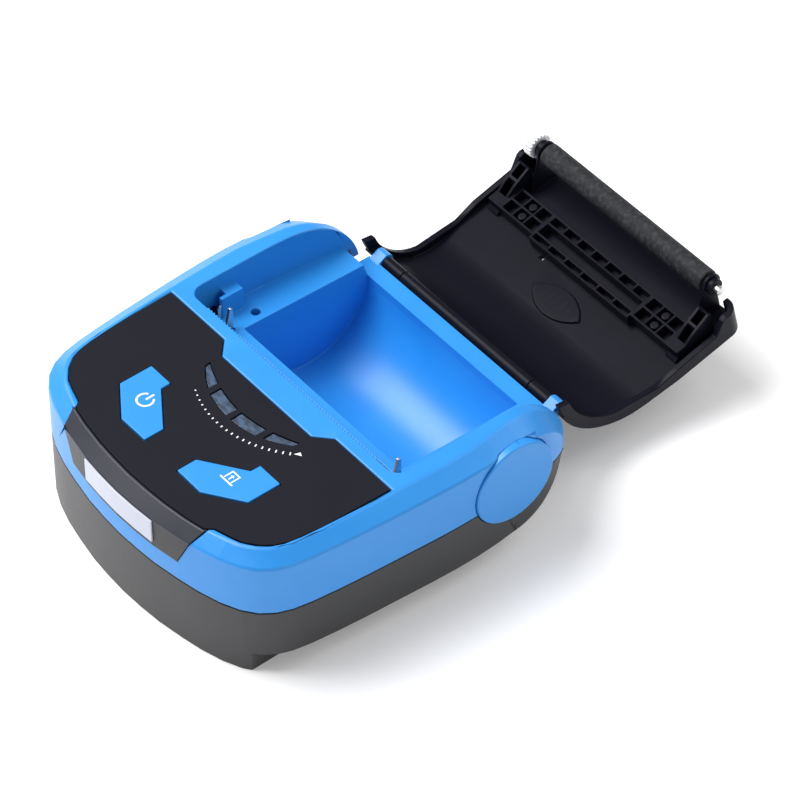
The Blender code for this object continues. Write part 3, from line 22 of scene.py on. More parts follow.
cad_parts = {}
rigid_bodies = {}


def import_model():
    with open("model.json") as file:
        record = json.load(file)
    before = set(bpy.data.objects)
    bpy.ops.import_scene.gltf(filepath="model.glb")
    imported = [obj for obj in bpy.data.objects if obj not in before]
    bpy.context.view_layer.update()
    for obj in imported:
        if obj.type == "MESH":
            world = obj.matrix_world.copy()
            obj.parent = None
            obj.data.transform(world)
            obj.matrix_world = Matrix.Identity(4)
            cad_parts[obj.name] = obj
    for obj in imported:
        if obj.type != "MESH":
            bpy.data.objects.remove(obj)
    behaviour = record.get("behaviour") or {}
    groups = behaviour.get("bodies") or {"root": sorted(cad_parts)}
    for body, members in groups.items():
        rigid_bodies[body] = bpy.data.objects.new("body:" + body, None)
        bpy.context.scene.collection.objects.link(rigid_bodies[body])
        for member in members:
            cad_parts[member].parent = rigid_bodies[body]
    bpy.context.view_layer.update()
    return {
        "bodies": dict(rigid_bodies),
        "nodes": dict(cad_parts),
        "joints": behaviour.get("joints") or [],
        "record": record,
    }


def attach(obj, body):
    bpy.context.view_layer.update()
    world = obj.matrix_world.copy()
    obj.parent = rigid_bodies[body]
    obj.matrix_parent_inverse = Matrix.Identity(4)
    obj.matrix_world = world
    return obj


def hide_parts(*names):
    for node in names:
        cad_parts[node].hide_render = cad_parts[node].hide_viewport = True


MM = 0.001
LOG = logging.getLogger("receipt_printer")
Colour = tuple[float, float, float]
Point = tuple[float, float]


class Body(Enum):
    """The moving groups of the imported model."""

    CASE = "body"
    COVER = "lid"
    PLATEN = "platen"
    POWER = "power_button"
    FEED = "feed_button"
    PINION = "motor_pinion"
    IDLER = "idler_gear"


class Wire:
    """A shader socket that takes part in Python arithmetic."""

    def __init__(self, graph: "Graph", socket: bpy.types.NodeSocket) -> None:
        """Hold the socket and the graph that it belongs to."""
        self.graph = graph
        self.socket = socket

    def _math(self, operation: str, *values: "Wire | float") -> "Wire":
        """Add one Math node.

        Args:
            operation: The node's operation.
            values: Its inputs in order.

        Returns:
            The node's result.
        """
        inputs = dict(enumerate(values))
        made = self.graph.node("ShaderNodeMath", {"operation": operation}, inputs)
        return made.wire(0)

    def __add__(self, other: "Wire | float") -> "Wire":
        """Sum of two values."""
        return self._math("ADD", self, other)

    def __sub__(self, other: "Wire | float") -> "Wire":
        """Difference of two values."""
        return self._math("SUBTRACT", self, other)

    def __rsub__(self, other: "Wire | float") -> "Wire":
        """A number less this value."""
        return self._math("SUBTRACT", other, self)

    def __mul__(self, other: "Wire | float") -> "Wire":
        """Product of two values."""
        return self._math("MULTIPLY", self, other)

    def __truediv__(self, other: "Wire | float") -> "Wire":
        """Quotient of two values."""
        return self._math("DIVIDE", self, other)

    __radd__ = __add__
    __rmul__ = __mul__

    def cosine(self) -> "Wire":
        """Cosine of an angle in radians."""
        return self._math("COSINE", self)

    def sine(self) -> "Wire":
        """Sine of an angle in radians."""
        return self._math("SINE", self)

    def between(self, low: float, high: float) -> "Wire":
        """Ramp smoothly from 0 at low to 1 at high.

        Args:
            low: Value that gives 0.
            high: Value that gives 1.

        Returns:
            The ramped value.
        """
        made = self.graph.node(
            "ShaderNodeMapRange",
            {"interpolation_type": "SMOOTHSTEP", "clamp": True},
            {"Value": self, "From Min": low, "From Max": high},
        )
        return made.wire("Result")


@dataclass
class Placed:
    """One node of a graph."""

    graph: "Graph"
    node: bpy.types.Node

    def wire(self, output: str | int) -> Wire:
        """Give one of the node's outputs."""
        return Wire(self.graph, self.node.outputs[output])


class Graph:
    """The node tree of one material."""

    def __init__(self, name: str) -> None:
        """Start an empty tree that ends in a Principled BSDF.

        Args:
            name: The material's name.
        """
        self.material = bpy.data.materials.new(name)
        self.material.use_nodes = True
        self.tree = self.material.node_tree
        self.tree.nodes.clear()
        self.shader = self.node("ShaderNodeBsdfPrincipled")
        output = self.node("ShaderNodeOutputMaterial")
        self.tree.links.new(self.shader.node.outputs[0], output.node.inputs[0])

    def node(
        self, kind: str, settings: dict | None = None, inputs: dict | None = None
    ) -> Placed:
        """Add one node.

        Args:
            kind: The node's type.
            settings: Its properties, set first.
            inputs: Values or links of its sockets, by name or number.

        Returns:
            The new node.
        """
        made = self.tree.nodes.new(kind)
        for key, value in (settings or {}).items():
            setattr(made, key, value)
        placed = Placed(self, made)
        for key, value in (inputs or {}).items():
            self.feed(placed, key, value)
        return placed

    def feed(self, placed: Placed, key: str | int, value: object) -> None:
        """Link a wire to a socket, or set the socket's own value.

        Args:
            placed: The node.
            key: The socket's name or number.
            value: A wire, a number, a colour or a vector.
        """
        socket = placed.node.inputs[key]
        if isinstance(value, Wire):
            self.tree.links.new(value.socket, socket)
        elif isinstance(value, tuple) and len(value) == 3 and socket.type == "RGBA":
            socket.default_value = (*value, 1.0)
        else:
            socket.default_value = value

    def place(self, stretch: tuple[float, float, float] = (1.0, 1.0, 1.0)) -> Wire:
        """Position on the piece, stretched along its axes.

        Args:
            stretch: Factor along X, Y and Z.

        Returns:
            The position as a vector.
        """
        where = self.node("ShaderNodeTexCoord").wire("Object")
        made = self.node("ShaderNodeMapping", None, {"Vector": where, "Scale": stretch})
        return made.wire(0)

    def noise(
        self, size: float, detail: float = 2.0, place: Wire | None = None, seed: float = 0.0
    ) -> Wire:
        """Soft noise around 0.5.

        Args:
            size: Width of one patch, in metres.
            detail: Number of finer octaves.
            place: Position to read, or none for the piece's own.
            seed: Offset through the fourth dimension.

        Returns:
            The noise value.
        """
        made = self.node(
            "ShaderNodeTexNoise",
            {"noise_dimensions": "4D"},
            {
                "Vector": place or self.place(),
                "W": seed,
                "Scale": 1.0 / size,
                "Detail": detail,
            },
        )
        return made.wire("Fac")

    def blend(self, share: Wire | float, first: Colour | Wire, second: Colour | Wire) -> Wire:
        """Mix two colours.

        Args:
            share: Share of the second colour.
            first: Colour at 0.
            second: Colour at 1.

        Returns:
            The mixed colour.
        """
        made = self.node("ShaderNodeMix", {"data_type": "RGBA"})
        colour_a, colour_b = (s for s in made.node.inputs if s.type == "RGBA")
        factor = made.node.inputs[0]
        for socket, value in ((factor, share), (colour_a, first), (colour_b, second)):
            if isinstance(value, Wire):
                self.tree.links.new(value.socket, socket)
            else:
                socket.default_value = (*value, 1.0) if isinstance(value, tuple) else value
        result = next(s for s in made.node.outputs if s.type == "RGBA")
        return Wire(self, result)

    def bump(self, height: Wire, distance: float, strength: float = 1.0) -> None:
        """Raise the surface by a height map.

        Args:
            height: Height from 0 to 1.
            distance: Depth that 1 stands for, in metres.
            strength: How much of it shows.
        """
        made = self.node(
            "ShaderNodeBump", None, {"Height": height, "Distance": distance, "Strength": strength}
        )
        self.feed(self.shader, "Normal", made.wire("Normal"))

    def set(self, **values: object) -> None:
        """Set inputs of the shader, with underscores for the spaces in their names."""
        for key, value in values.items():
            self.feed(self.shader, key.replace("_", " ").title().replace("Ior", "IOR"), value)


@dataclass(frozen=True)
class MouldedPlastic:
    """Injection-moulded plastic with a spark-eroded grain and faint handling marks."""

    name: str
    colour: Colour
    shade: Colour
    roughness: float = 0.38
    grain: float = 0.22 * MM
    depth: float = 0.012 * MM
    spread: float = 0.06
    specular: float = 0.5
    coat: float = 0.0
    upper: Colour | None = None
    seam: float = 0.0
    seam_width: float = 0.15 * MM

    def build(self) -> bpy.types.Material:
        """Make the material.

        Returns:
            The finished material.
        """
        graph = Graph(self.name)
        cloud = graph.noise(18 * MM, 3.0)
        marks = graph.noise(3.5 * MM, 4.0, graph.place((1.0, 2.6, 1.0)), 1.7)
        pores = graph.noise(self.grain, 1.0, seed=4.1)
        colour = graph.blend(cloud.between(0.3, 0.75), self.colour, self.shade)
        if self.upper:
            parts = graph.node("ShaderNodeSeparateXYZ", None, {"Vector": graph.place()})
            above = parts.wire("Z").between(self.seam, self.seam + self.seam_width)
            colour = graph.blend(above, colour, self.upper)
        graph.set(base_color=colour)
        graph.set(roughness=(marks - 0.5) * self.spread + (pores - 0.5) * 0.05 + self.roughness)
        graph.set(specular_ior_level=self.specular, coat_roughness=0.18)
        if self.coat:
            graph.set(coat_weight=self.coat)
        graph.bump(pores * 0.8 + marks * 0.2, self.depth)
        return graph.material


@dataclass(frozen=True)
class GroundRubber:
    """Rubber that was ground to size: mottled, dusty and marked round its axis."""

    name: str
    colour: Colour
    dust: Colour
    speck: Colour = (0.3, 0.31, 0.34)
    roughness: float = 0.72

    def build(self) -> bpy.types.Material:
        """Make the material.

        Returns:
            The finished material.
        """
        graph = Graph(self.name)
        mottle = graph.noise(1.6 * MM, 5.0)
        rings = graph.noise(0.5 * MM, 2.0, graph.place((1.0, 0.06, 0.06)), 2.2)
        flecks = graph.noise(0.4 * MM, 2.0, seed=7.7)
        dusty = mottle.between(0.42, 0.72) * 0.7 + rings.between(0.55, 0.8) * 0.3
        colour = graph.blend(dusty, self.colour, self.dust)
        specks = flecks.between(0.68, 0.78) * 0.35
        graph.set(base_color=graph.blend(specks, colour, self.speck))
        graph.set(roughness=mottle * 0.18 + self.roughness - 0.09, specular_ior_level=0.35)
        graph.bump(mottle * 0.4 + flecks * 0.4 + rings * 0.2, 0.05 * MM)
        return graph.material


@dataclass(frozen=True)
class BrushedMetal:
    """Sheet or turned metal with fine lines along one axis."""

    name: str
    colour: Colour
    roughness: float = 0.28
    along: tuple[float, float, float] = (0.05, 1.0, 1.0)

    def build(self) -> bpy.types.Material:
        """Make the material.

        Returns:
            The finished material.
        """
        graph = Graph(self.name)
        lines = graph.noise(0.25 * MM, 2.0, graph.place(self.along), 3.3)
        stain = graph.noise(6 * MM, 3.0, seed=0.6)
        dull = tuple(channel * 0.72 for channel in self.colour)
        graph.set(base_color=graph.blend(stain.between(0.35, 0.8), self.colour, dull))
        graph.set(metallic=1.0, roughness=(lines - 0.5) * 0.22 + stain * 0.06 + self.roughness)
        graph.bump(lines, 0.01 * MM)
        return graph.material


@dataclass(frozen=True)
class SmokedLens:
    """A grey light window over a dim diffuser."""

    name: str
    edge: Colour
    middle: Colour

    def build(self) -> bpy.types.Material:
        """Make the material.

        Returns:
            The finished material.
        """
        graph = Graph(self.name)
        haze = graph.noise(3.2 * MM, 2.0, graph.place((1.0, 1.8, 1.0)))
        streak = graph.noise(1.1 * MM, 3.0, graph.place((0.4, 2.5, 1.0)), 5.0)
        mix = haze.between(0.32, 0.66) * 0.8 + streak * 0.2
        graph.set(base_color=graph.blend(mix, self.edge, self.middle))
        graph.set(roughness=streak * 0.1 + 0.12, specular_ior_level=0.4, coat_weight=0.2)
        graph.set(coat_roughness=0.05)
        graph.bump(haze, 0.03 * MM)
        return graph.material


@dataclass(frozen=True)
class BoardMask:
    """Solder mask with darker tracks under it."""

    name: str
    colour: Colour
    track: Colour

    def build(self) -> bpy.types.Material:
        """Make the material.

        Returns:
            The finished material.
        """
        graph = Graph(self.name)
        cells = graph.node(
            "ShaderNodeTexVoronoi",
            {"feature": "DISTANCE_TO_EDGE", "distance": "MANHATTAN"},
            {"Vector": graph.place(), "Scale": 1.0 / (4.2 * MM)},
        ).wire("Distance")
        tracks = 1.0 - cells.between(0.04, 0.09)
        graph.set(base_color=graph.blend(tracks, self.colour, self.track))
        graph.set(roughness=tracks * 0.1 + 0.34, coat_weight=0.4)
        graph.bump(tracks, 0.03 * MM)
        return graph.material


class Layout(Graph):
    """A Geometry Nodes tree that repeats a small block."""

    def __init__(self, name: str, **given: str) -> None:
        """Start a tree with named inputs.

        Args:
            name: The tree's name.
            given: Socket type of each input, by name.
        """
        self.tree = bpy.data.node_groups.new(name, "GeometryNodeTree")
        for key, kind in given.items():
            self.tree.interface.new_socket(key, in_out="INPUT", socket_type=f"NodeSocket{kind}")
        self.tree.interface.new_socket(
            "Geometry", in_out="OUTPUT", socket_type="NodeSocketGeometry"
        )
        self.given = self.node("NodeGroupInput")

    def vector(self, *parts: Wire | float) -> Wire:
        """Join three values to a vector."""
        return self.node("ShaderNodeCombineXYZ", None, dict(enumerate(parts))).wire(0)

    def repeat(self, place: Wire, turn: Wire, size: Wire) -> None:
        """Put a block at every point and end the tree.

        Args:
            place: Where each block's middle lies.
            turn: Each block's rotation.
            size: Each block's size.
        """
        points = self.node("GeometryNodeMeshLine", None, {"Count": self.given.wire("Count")})
        points.node.inputs["Offset"].default_value = (0.0, 0.0, 0.0)
        moved = self.node(
            "GeometryNodeSetPosition", None, {"Geometry": points.wire(0), "Position": place}
        )
        block = self.node("GeometryNodeMeshCube", None, {"Size": (1.0, 1.0, 1.0)})
        copies = self.node(
            "GeometryNodeInstanceOnPoints",
            None,
            {"Points": moved.wire(0), "Instance": block.wire(0), "Rotation": turn, "Scale": size},
        )
        real = self.node("GeometryNodeRealizeInstances", None, {0: copies.wire(0)})
        finished = self.node(
            "GeometryNodeSetMaterial",
            None,
            {"Geometry": real.wire(0), "Material": self.given.wire("Finish")},
        )
        self.node("NodeGroupOutput", None, {0: finished.wire(0)})

    def grow(self, name: str, **values: object) -> bpy.types.Object:
        """Run the tree once and keep its result as a plain piece.

        Args:
            name: The piece's name.
            values: The tree's inputs.

        Returns:
            The piece.
        """
        holder = bpy.data.objects.new(name, bpy.data.meshes.new(name))
        bpy.context.scene.collection.objects.link(holder)
        layout = holder.modifiers.new("layout", "NODES")
        layout.node_group = self.tree
        for item in self.tree.interface.items_tree:
            if item.item_type == "SOCKET" and item.in_out == "INPUT":
                layout[item.identifier] = values[item.name]
        graph = bpy.context.evaluated_depsgraph_get()
        mesh = bpy.data.meshes.new_from_object(holder.evaluated_get(graph))
        bpy.data.objects.remove(holder)
        piece = bpy.data.objects.new(name, mesh)
        bpy.context.scene.collection.objects.link(piece)
        return piece


@dataclass(frozen=True)
class ArcOfMarks:
    """Printed marks along an arc, from a dot at one end to a dash at the other."""

    middle: Point = (-0.32 * MM, 7.59 * MM)
    radius: float = 38.07 * MM
    start: float = -114.1
    step: float = 3.44
    count: int = 20
    width: tuple[float, float] = (0.5 * MM, 0.42 * MM)
    length: tuple[float, float] = (0.5 * MM, 1.25 * MM)

    def build(self, finish: bpy.types.Material, height: float, thick: float) -> bpy.types.Object:
        """Make the marks.

        Args:
            finish: Their ink.
            height: Height of the panel's face.
            thick: Thickness of the ink.

        Returns:
            The marks as one piece.
        """
        tree = Layout(
            "arc_of_marks",
            Count="Int",
            Radius="Float",
            Start="Float",
            Step="Float",
            Finish="Material",
        )
        index = tree.node("GeometryNodeInputIndex").wire(0)
        angle = index * tree.given.wire("Step") + tree.given.wire("Start")
        radius = tree.given.wire("Radius")
        share = index / float(self.count - 1)
        across = angle.cosine() * radius + self.middle[0]
        along = angle.sine() * radius + self.middle[1]
        long = share * (self.length[1] - self.length[0]) + self.length[0]
        wide = share * (self.width[1] - self.width[0]) + self.width[0]
        tree.repeat(
            tree.vector(across, along, height + thick / 2),
            tree.vector(0.0, 0.0, angle),
            tree.vector(long, wide, thick),
        )
        return tree.grow(
            "status_arc_marks", Count=self.count, Radius=self.radius,
            Start=math.radians(self.start), Step=math.radians(self.step), Finish=finish,
        )


@dataclass(frozen=True)
class RowOfRidges:
    """Thumb ridges across the battery hatch."""

    first: float = -54.0 * MM
    pitch: float = 1.7 * MM
    count: int = 5
    width: float = 22.0 * MM
    depth: float = 0.7 * MM

    def build(self, finish: bpy.types.Material, height: float, thick: float) -> bpy.types.Object:
        """Make the ridges.

        Args:
            finish: Their plastic.
            height: Height of the hatch's outer face.
            thick: How far each stands out below it.

        Returns:
            The ridges as one piece.
        """
        tree = Layout("row_of_ridges", Count="Int", Pitch="Float", Finish="Material")
        index = tree.node("GeometryNodeInputIndex").wire(0)
        along = index * tree.given.wire("Pitch") + self.first
        tree.repeat(
            tree.vector(0.0, along, height - thick / 2),
            tree.vector(0.0, 0.0, 0.0),
            tree.vector(self.width, self.depth, thick),
        )
        return tree.grow("hatch_thumb_ridges", Count=self.count, Pitch=self.pitch, Finish=finish)


class Stock:
    """Every finish of the printer, each made once."""

    def __init__(self) -> None:
        """Make the materials."""
        self.blue = MouldedPlastic(
            "satin_blue_plastic", (0.024, 0.285, 0.76), (0.02, 0.265, 0.74), roughness=0.37
        ).build()
        self.film = MouldedPlastic(
            "panel_film", (0.010, 0.0105, 0.0175), (0.0088, 0.0092, 0.0155), roughness=0.5,
            grain=0.12 * MM, specular=0.12,
        ).build()
        self.trim = MouldedPlastic(
            "trim_plastic", (0.03, 0.029, 0.031), (0.026, 0.025, 0.027), roughness=0.4, specular=0.35,
            upper=(0.026, 0.028, 0.042), seam=44.8 * MM,
        ).build()
        self.charcoal = MouldedPlastic(
            "charcoal_plastic", (0.0145, 0.014, 0.0165), (0.012, 0.0117, 0.0138), roughness=0.42,
            grain=0.3 * MM, depth=0.02 * MM, specular=0.6,
        ).build()
        self.black = MouldedPlastic(
            "cover_black_plastic", (0.0052, 0.0056, 0.0115), (0.0042, 0.0046, 0.0098), roughness=0.38,
            spread=0.12, specular=0.1,
        ).build()
        self.label = MouldedPlastic(
            "bare_label_plate", (0.6, 0.62, 0.72), (0.56, 0.58, 0.68), roughness=0.35, depth=0.004 * MM
        ).build()
        self.nylon = MouldedPlastic(
            "white_nylon", (0.86, 0.87, 0.88), (0.8, 0.81, 0.82), roughness=0.4
        ).build()
        self.ink = MouldedPlastic(
            "white_ink", (0.86, 0.87, 0.9), (0.8, 0.81, 0.84), roughness=0.5, depth=0.002 * MM
        ).build()
        self.wrap = MouldedPlastic(
            "cell_wrap", (0.02, 0.09, 0.3), (0.016, 0.07, 0.26), roughness=0.3, coat=0.3
        ).build()
        self.ceramic = MouldedPlastic(
            "glazed_strip", (0.75, 0.72, 0.66), (0.7, 0.67, 0.6), roughness=0.22, depth=0.003 * MM
        ).build()
        self.rubber = GroundRubber(
            "ground_rubber", (0.012, 0.0125, 0.015), (0.05, 0.053, 0.062)
        ).build()
        self.foot = GroundRubber("foot_rubber", (0.02, 0.02, 0.022), (0.04, 0.04, 0.043)).build()
        self.steel = BrushedMetal("bright_steel", (0.72, 0.72, 0.73)).build()
        self.aluminium = BrushedMetal(
            "milled_aluminium", (0.78, 0.79, 0.8), 0.34, (1.0, 1.0, 0.05)
        ).build()
        self.lens = SmokedLens("smoked_window", (0.032, 0.04, 0.055), (0.075, 0.125, 0.21)).build()
        self.mask = BoardMask("solder_mask", (0.02, 0.13, 0.06), (0.012, 0.08, 0.035)).build()


@dataclass
class Workshop:
    """Makes pieces on the frame and hands them to the bodies."""

    frame: dict
    stock: Stock
    slots: dict[str, str] = field(default_factory=dict)
    cuts: dict[str, tuple] = field(default_factory=dict)
    room_share: float = 0.4
    weld: float = 0.004 * MM
    flat_angle: float = 0.6

    def __post_init__(self) -> None:
        """Read which material slot each node has."""
        for entry in self.frame["record"]["subparts"]:
            self.slots[entry["node"]] = entry["material_slot"]

    def body_of(self, node: str) -> str:
        """Name of the body that a node rides on."""
        bodies = self.frame["record"]["behaviour"]["bodies"]
        return next(body for body, nodes in bodies.items() if node in nodes)

    def clean_copy(self, node: str) -> bmesh.types.BMesh:
        """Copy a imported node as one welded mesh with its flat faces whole.

        Args:
            node: The node's name.

        Returns:
            The copy, for more work.
        """
        bm = bmesh.new()
        bm.from_mesh(self.frame["nodes"][node].data)
        bmesh.ops.remove_doubles(bm, verts=bm.verts, dist=self.weld)
        flat = math.radians(self.flat_angle)
        bmesh.ops.dissolve_limit(
            bm, angle_limit=flat, verts=bm.verts, edges=bm.edges, delimit=set()
        )
        for point, normal in self.cuts.get(node, ()):
            everything = [*bm.verts, *bm.edges, *bm.faces]
            bmesh.ops.bisect_plane(
                bm, geom=everything, plane_co=point, plane_no=normal, clear_outer=True
            )
            bmesh.ops.holes_fill(bm, edges=[edge for edge in bm.edges if edge.is_boundary])
        bmesh.ops.triangulate(bm, faces=[face for face in bm.faces if len(face.verts) > 4])
        return bm

    def dress(
        self,
        node: str,
        finish: bpy.types.Material,
        radius: float = 0.25 * MM,
        crease: float = 32.0,
        segments: int = 2,
        weight: Callable[[bmesh.types.BMEdge], float] | None = None,
    ) -> bpy.types.Object:
        """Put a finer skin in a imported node's place, with its edges rounded.

        Args:
            node: The node that the skin stands for.
            finish: The skin's material.
            radius: Width of the widest edge round.
            crease: Angle in degrees past which an edge is rounded.
            segments: Steps of each round.
            weight: Share of the radius for an edge, or none for the same all over.

        Returns:
            The finished piece.
        """
        bm = self.clean_copy(node)
        layer = bm.edges.layers.float.new("bevel_weight_edge")
        limit = math.radians(crease)
        joined = (e for e in bm.edges if len(e.link_faces) == 2)
        creases = {e for e in joined if e.calc_face_angle(0.0) > limit}
        for edge in creases:
            around = [e for vert in edge.verts for e in vert.link_edges if e in creases]
            room = self.room_share * min(e.calc_length() for e in around) / radius
            edge[layer] = min(weight(edge) if weight else 1.0, room)
        mesh = bpy.data.meshes.new(f"{node}_skin")
        bm.to_mesh(mesh)
        bm.free()
        mesh.shade_smooth()
        mesh.set_sharp_from_angle(angle=limit)
        piece = bpy.data.objects.new(f"{node}_skin", mesh)
        bpy.context.scene.collection.objects.link(piece)
        rounding = piece.modifiers.new("edge_round", "BEVEL")
        rounding.limit_method = "WEIGHT"
        rounding.width = radius
        rounding.segments = segments
        rounding.use_clamp_overlap = False
        shading = piece.modifiers.new("flat_faces_first", "WEIGHTED_NORMAL")
        shading.mode = "FACE_AREA"
        shading.keep_sharp = True
        mesh.materials.append(finish)
        return self.hand_over(piece, self.body_of(node), self.slots[node], node)

    def raised(
        self,
        name: str,
        outlines: Iterable[Sequence[Point]],
        low: float,
        high: float,
        finish: bpy.types.Material,
        upright: bool = False,
    ) -> bpy.types.Object:
        """Make flat shapes with a thickness.

        Args:
            name: The piece's name.
            outlines: Corners of each shape, anticlockwise.
            low: Where the shapes start.
            high: Where they end.
            finish: The material.
            upright: Draw in the YZ plane and thicken along X, in place of XY and Z.

        Returns:
            The piece.
        """
        bm = bmesh.new()
        for outline in outlines:
            places = [(low, a, b) if upright else (a, b, low) for a, b in outline]
            face = bm.faces.new([bm.verts.new(place) for place in places])
            top = bmesh.ops.extrude_face_region(bm, geom=[face])["geom"]
            offset = (high - low, 0.0, 0.0) if upright else (0.0, 0.0, high - low)
            moved = [item for item in top if isinstance(item, bmesh.types.BMVert)]
            bmesh.ops.translate(bm, verts=moved, vec=offset)
        bmesh.ops.recalc_face_normals(bm, faces=bm.faces)
        mesh = bpy.data.meshes.new(name)
        bm.to_mesh(mesh)
        bm.free()
        mesh.materials.append(finish)
        piece = bpy.data.objects.new(name, mesh)
        bpy.context.scene.collection.objects.link(piece)
        return piece

    def hand_over(
        self, piece: bpy.types.Object, body: str, slot: str, *replaced: str
    ) -> bpy.types.Object:
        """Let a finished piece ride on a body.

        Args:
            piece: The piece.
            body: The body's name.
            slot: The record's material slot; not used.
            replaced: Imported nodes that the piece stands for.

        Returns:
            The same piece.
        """
        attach(piece, body)
        if replaced:
            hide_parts(*replaced)
        LOG.info("%s rides on %s", piece.name, body)
        return piece


@dataclass
class Case:
    """Upper and lower shells with their caps, hatch and feet."""

    shop: Workshop
    top: float = 51.0 * MM
    rim_round: float = 0.7 * MM
    rim_drops: Point = (5.0 * MM, 4.4 * MM)
    small_share: float = 0.35
    hatch_face: float = 0.2 * MM
    ridge_height: float = 0.15 * MM
    shoulder: tuple[float, float, float] = (-65.3 * MM, 0.0, 40.5 * MM)
    shoulder_facing: tuple[float, float, float] = (-0.897, 0.0, 0.443)

    def build(self) -> None:
        """Dress every piece of the case."""
        stock = self.shop.stock
        self.shop.dress("upper_shell", stock.blue, self.rim_round, 22.0, 3, self.rim_weight)
        self.shop.dress("lower_shell", stock.charcoal, 0.35 * MM, 30.0)
        self.shop.dress("battery_cover", stock.charcoal, 0.3 * MM)
        self.shop.cuts["left_hub_cap"] = ((self.shoulder, self.shoulder_facing),)
        for side in ("left", "right"):
            self.shop.dress(f"{side}_hub_cap", stock.blue, 0.1 * MM)
            for row in ("front", "rear"):
                self.shop.dress(f"{row}_{side}_foot", stock.foot, 0.2 * MM)
        ridges = RowOfRidges().build(stock.charcoal, self.hatch_face, self.ridge_height)
        self.shop.hand_over(ridges, Body.CASE.value, "charcoal_plastic")

    def rim_weight(self, edge: bmesh.types.BMEdge) -> float:
        """Round the top rims widely and everything inside finely."""
        low, high = sorted(vert.co.z for vert in edge.verts)
        on_rim = low > self.top - self.rim_drops[0] and high > self.top - self.rim_drops[1]
        return 1.0 if on_rim else self.small_share


@dataclass
class Panel:
    """Control panel with its buttons, windows and printed marks."""

    shop: Workshop
    face: float = 51.15 * MM
    button_face: float = 51.5 * MM
    ink_thick: float = 0.03 * MM
    power_place: Point = (-22.2 * MM, -42.2 * MM)
    feed_place: Point = (21.6 * MM, -42.0 * MM)
    ring: Point = (3.1 * MM, 2.4 * MM)
    ring_gap: float = 64.0
    ring_steps: int = 28
    bar: Point = (0.7 * MM, 3.3 * MM)
    bar_rise: float = 1.9 * MM
    flag: tuple[Point, ...] = (
        (25.6 * MM, -20.3 * MM), (27.9 * MM, -18.9 * MM), (26.4 * MM, -18.2 * MM)
    )

    def build(self) -> None:
        """Dress the panel's pieces."""
        stock = self.shop.stock
        self.shop.dress("control_panel", stock.film, 0.12 * MM)
        self.shop.dress("power_button", stock.blue, 0.25 * MM)
        self.shop.dress("feed_button", stock.blue, 0.25 * MM)
        for place in ("outer_left", "inner_left", "inner_right", "outer_right"):
            self.shop.dress(f"{place}_status_window", stock.lens, 0.15 * MM)
        self.shop.dress("front_trim", stock.trim, 0.2 * MM)
        self.shop.dress("badge_plate", stock.label, 0.1 * MM)
        self.print_marks()

    def print_marks(self) -> None:
        """Print the arc on the panel and one sign on each button."""
        ink = self.shop.stock.ink
        arc = ArcOfMarks().build(ink, self.face, self.ink_thick)
        self.shop.hand_over(arc, Body.CASE.value, "plate_white")
        for name, outlines, face, body in (
            ("status_arc_flag", [self.flag], self.face, Body.CASE),
            ("power_sign", self.power_sign(), self.button_face, Body.POWER),
            ("feed_sign", self.feed_sign(), self.button_face, Body.FEED),
        ):
            piece = self.shop.raised(name, outlines, face, face + self.ink_thick, ink)
            self.shop.hand_over(piece, body.value, "plate_white")

    def power_sign(self) -> list[list[Point]]:
        """Outline the open ring and its bar."""
        x, y = self.power_place
        begin = 90 + self.ring_gap / 2
        turn = (360 - self.ring_gap) / self.ring_steps
        angles = [math.radians(begin + turn * k) for k in range(self.ring_steps + 1)]
        outer, inner = (
            [(x + radius * math.cos(a), y + radius * math.sin(a)) for a in angles]
            for radius in self.ring
        )
        quads = [
            [outer[k], outer[k + 1], inner[k + 1], inner[k]] for k in range(self.ring_steps)
        ]
        return [*quads, self.block(x, y + self.bar_rise, *self.bar)]

    def feed_sign(self) -> list[list[Point]]:
        """Outline a sheet leaving a slot."""
        x, y = self.feed_place
        return [
            self.block(x, y - 1.7 * MM, 6.0 * MM, 0.6 * MM),
            self.block(x - 1.7 * MM, y + 0.5 * MM, 0.5 * MM, 3.2 * MM),
            self.block(x + 1.7 * MM, y + 0.5 * MM, 0.5 * MM, 3.2 * MM),
            self.block(x, y + 2.35 * MM, 3.9 * MM, 0.5 * MM),
            self.block(x, y - 0.1 * MM, 0.5 * MM, 1.4 * MM),
            [(x - 0.9 * MM, y + 0.6 * MM), (x + 0.9 * MM, y + 0.6 * MM), (x, y + 1.5 * MM)],
        ]

    @staticmethod
    def block(x: float, y: float, width: float, height: float) -> list[Point]:
        """Outline an upright rectangle about its middle."""
        a, b = width / 2, height / 2
        return [(x - a, y - b), (x + a, y - b), (x + a, y + b), (x - a, y + b)]


@dataclass
class Cover:
    """The open cover with its ribbed frame and bearings."""

    shop: Workshop

    def build(self) -> None:
        """Dress the cover's pieces."""
        stock = self.shop.stock
        self.shop.dress("lid_shell", stock.black, 0.35 * MM, 28.0)
        self.shop.dress("lid_frame", stock.black, 0.12 * MM)
        for side in ("left", "right"):
            self.shop.dress(f"{side}_platen_bushing", stock.black, 0.15 * MM)
            self.shop.dress(f"{side}_hinge_sleeve", stock.black, 0.2 * MM)


@dataclass
class Platen:
    """Rubber roller on its shaft with the drive gear."""

    shop: Workshop

    def build(self) -> None:
        """Dress the platen's pieces."""
        stock = self.shop.stock
        self.shop.dress("platen_roller", stock.rubber, 0.15 * MM)
        self.shop.dress("platen_shaft", stock.steel, 0.15 * MM)
        self.shop.dress("platen_gear", stock.nylon, 0.08 * MM)


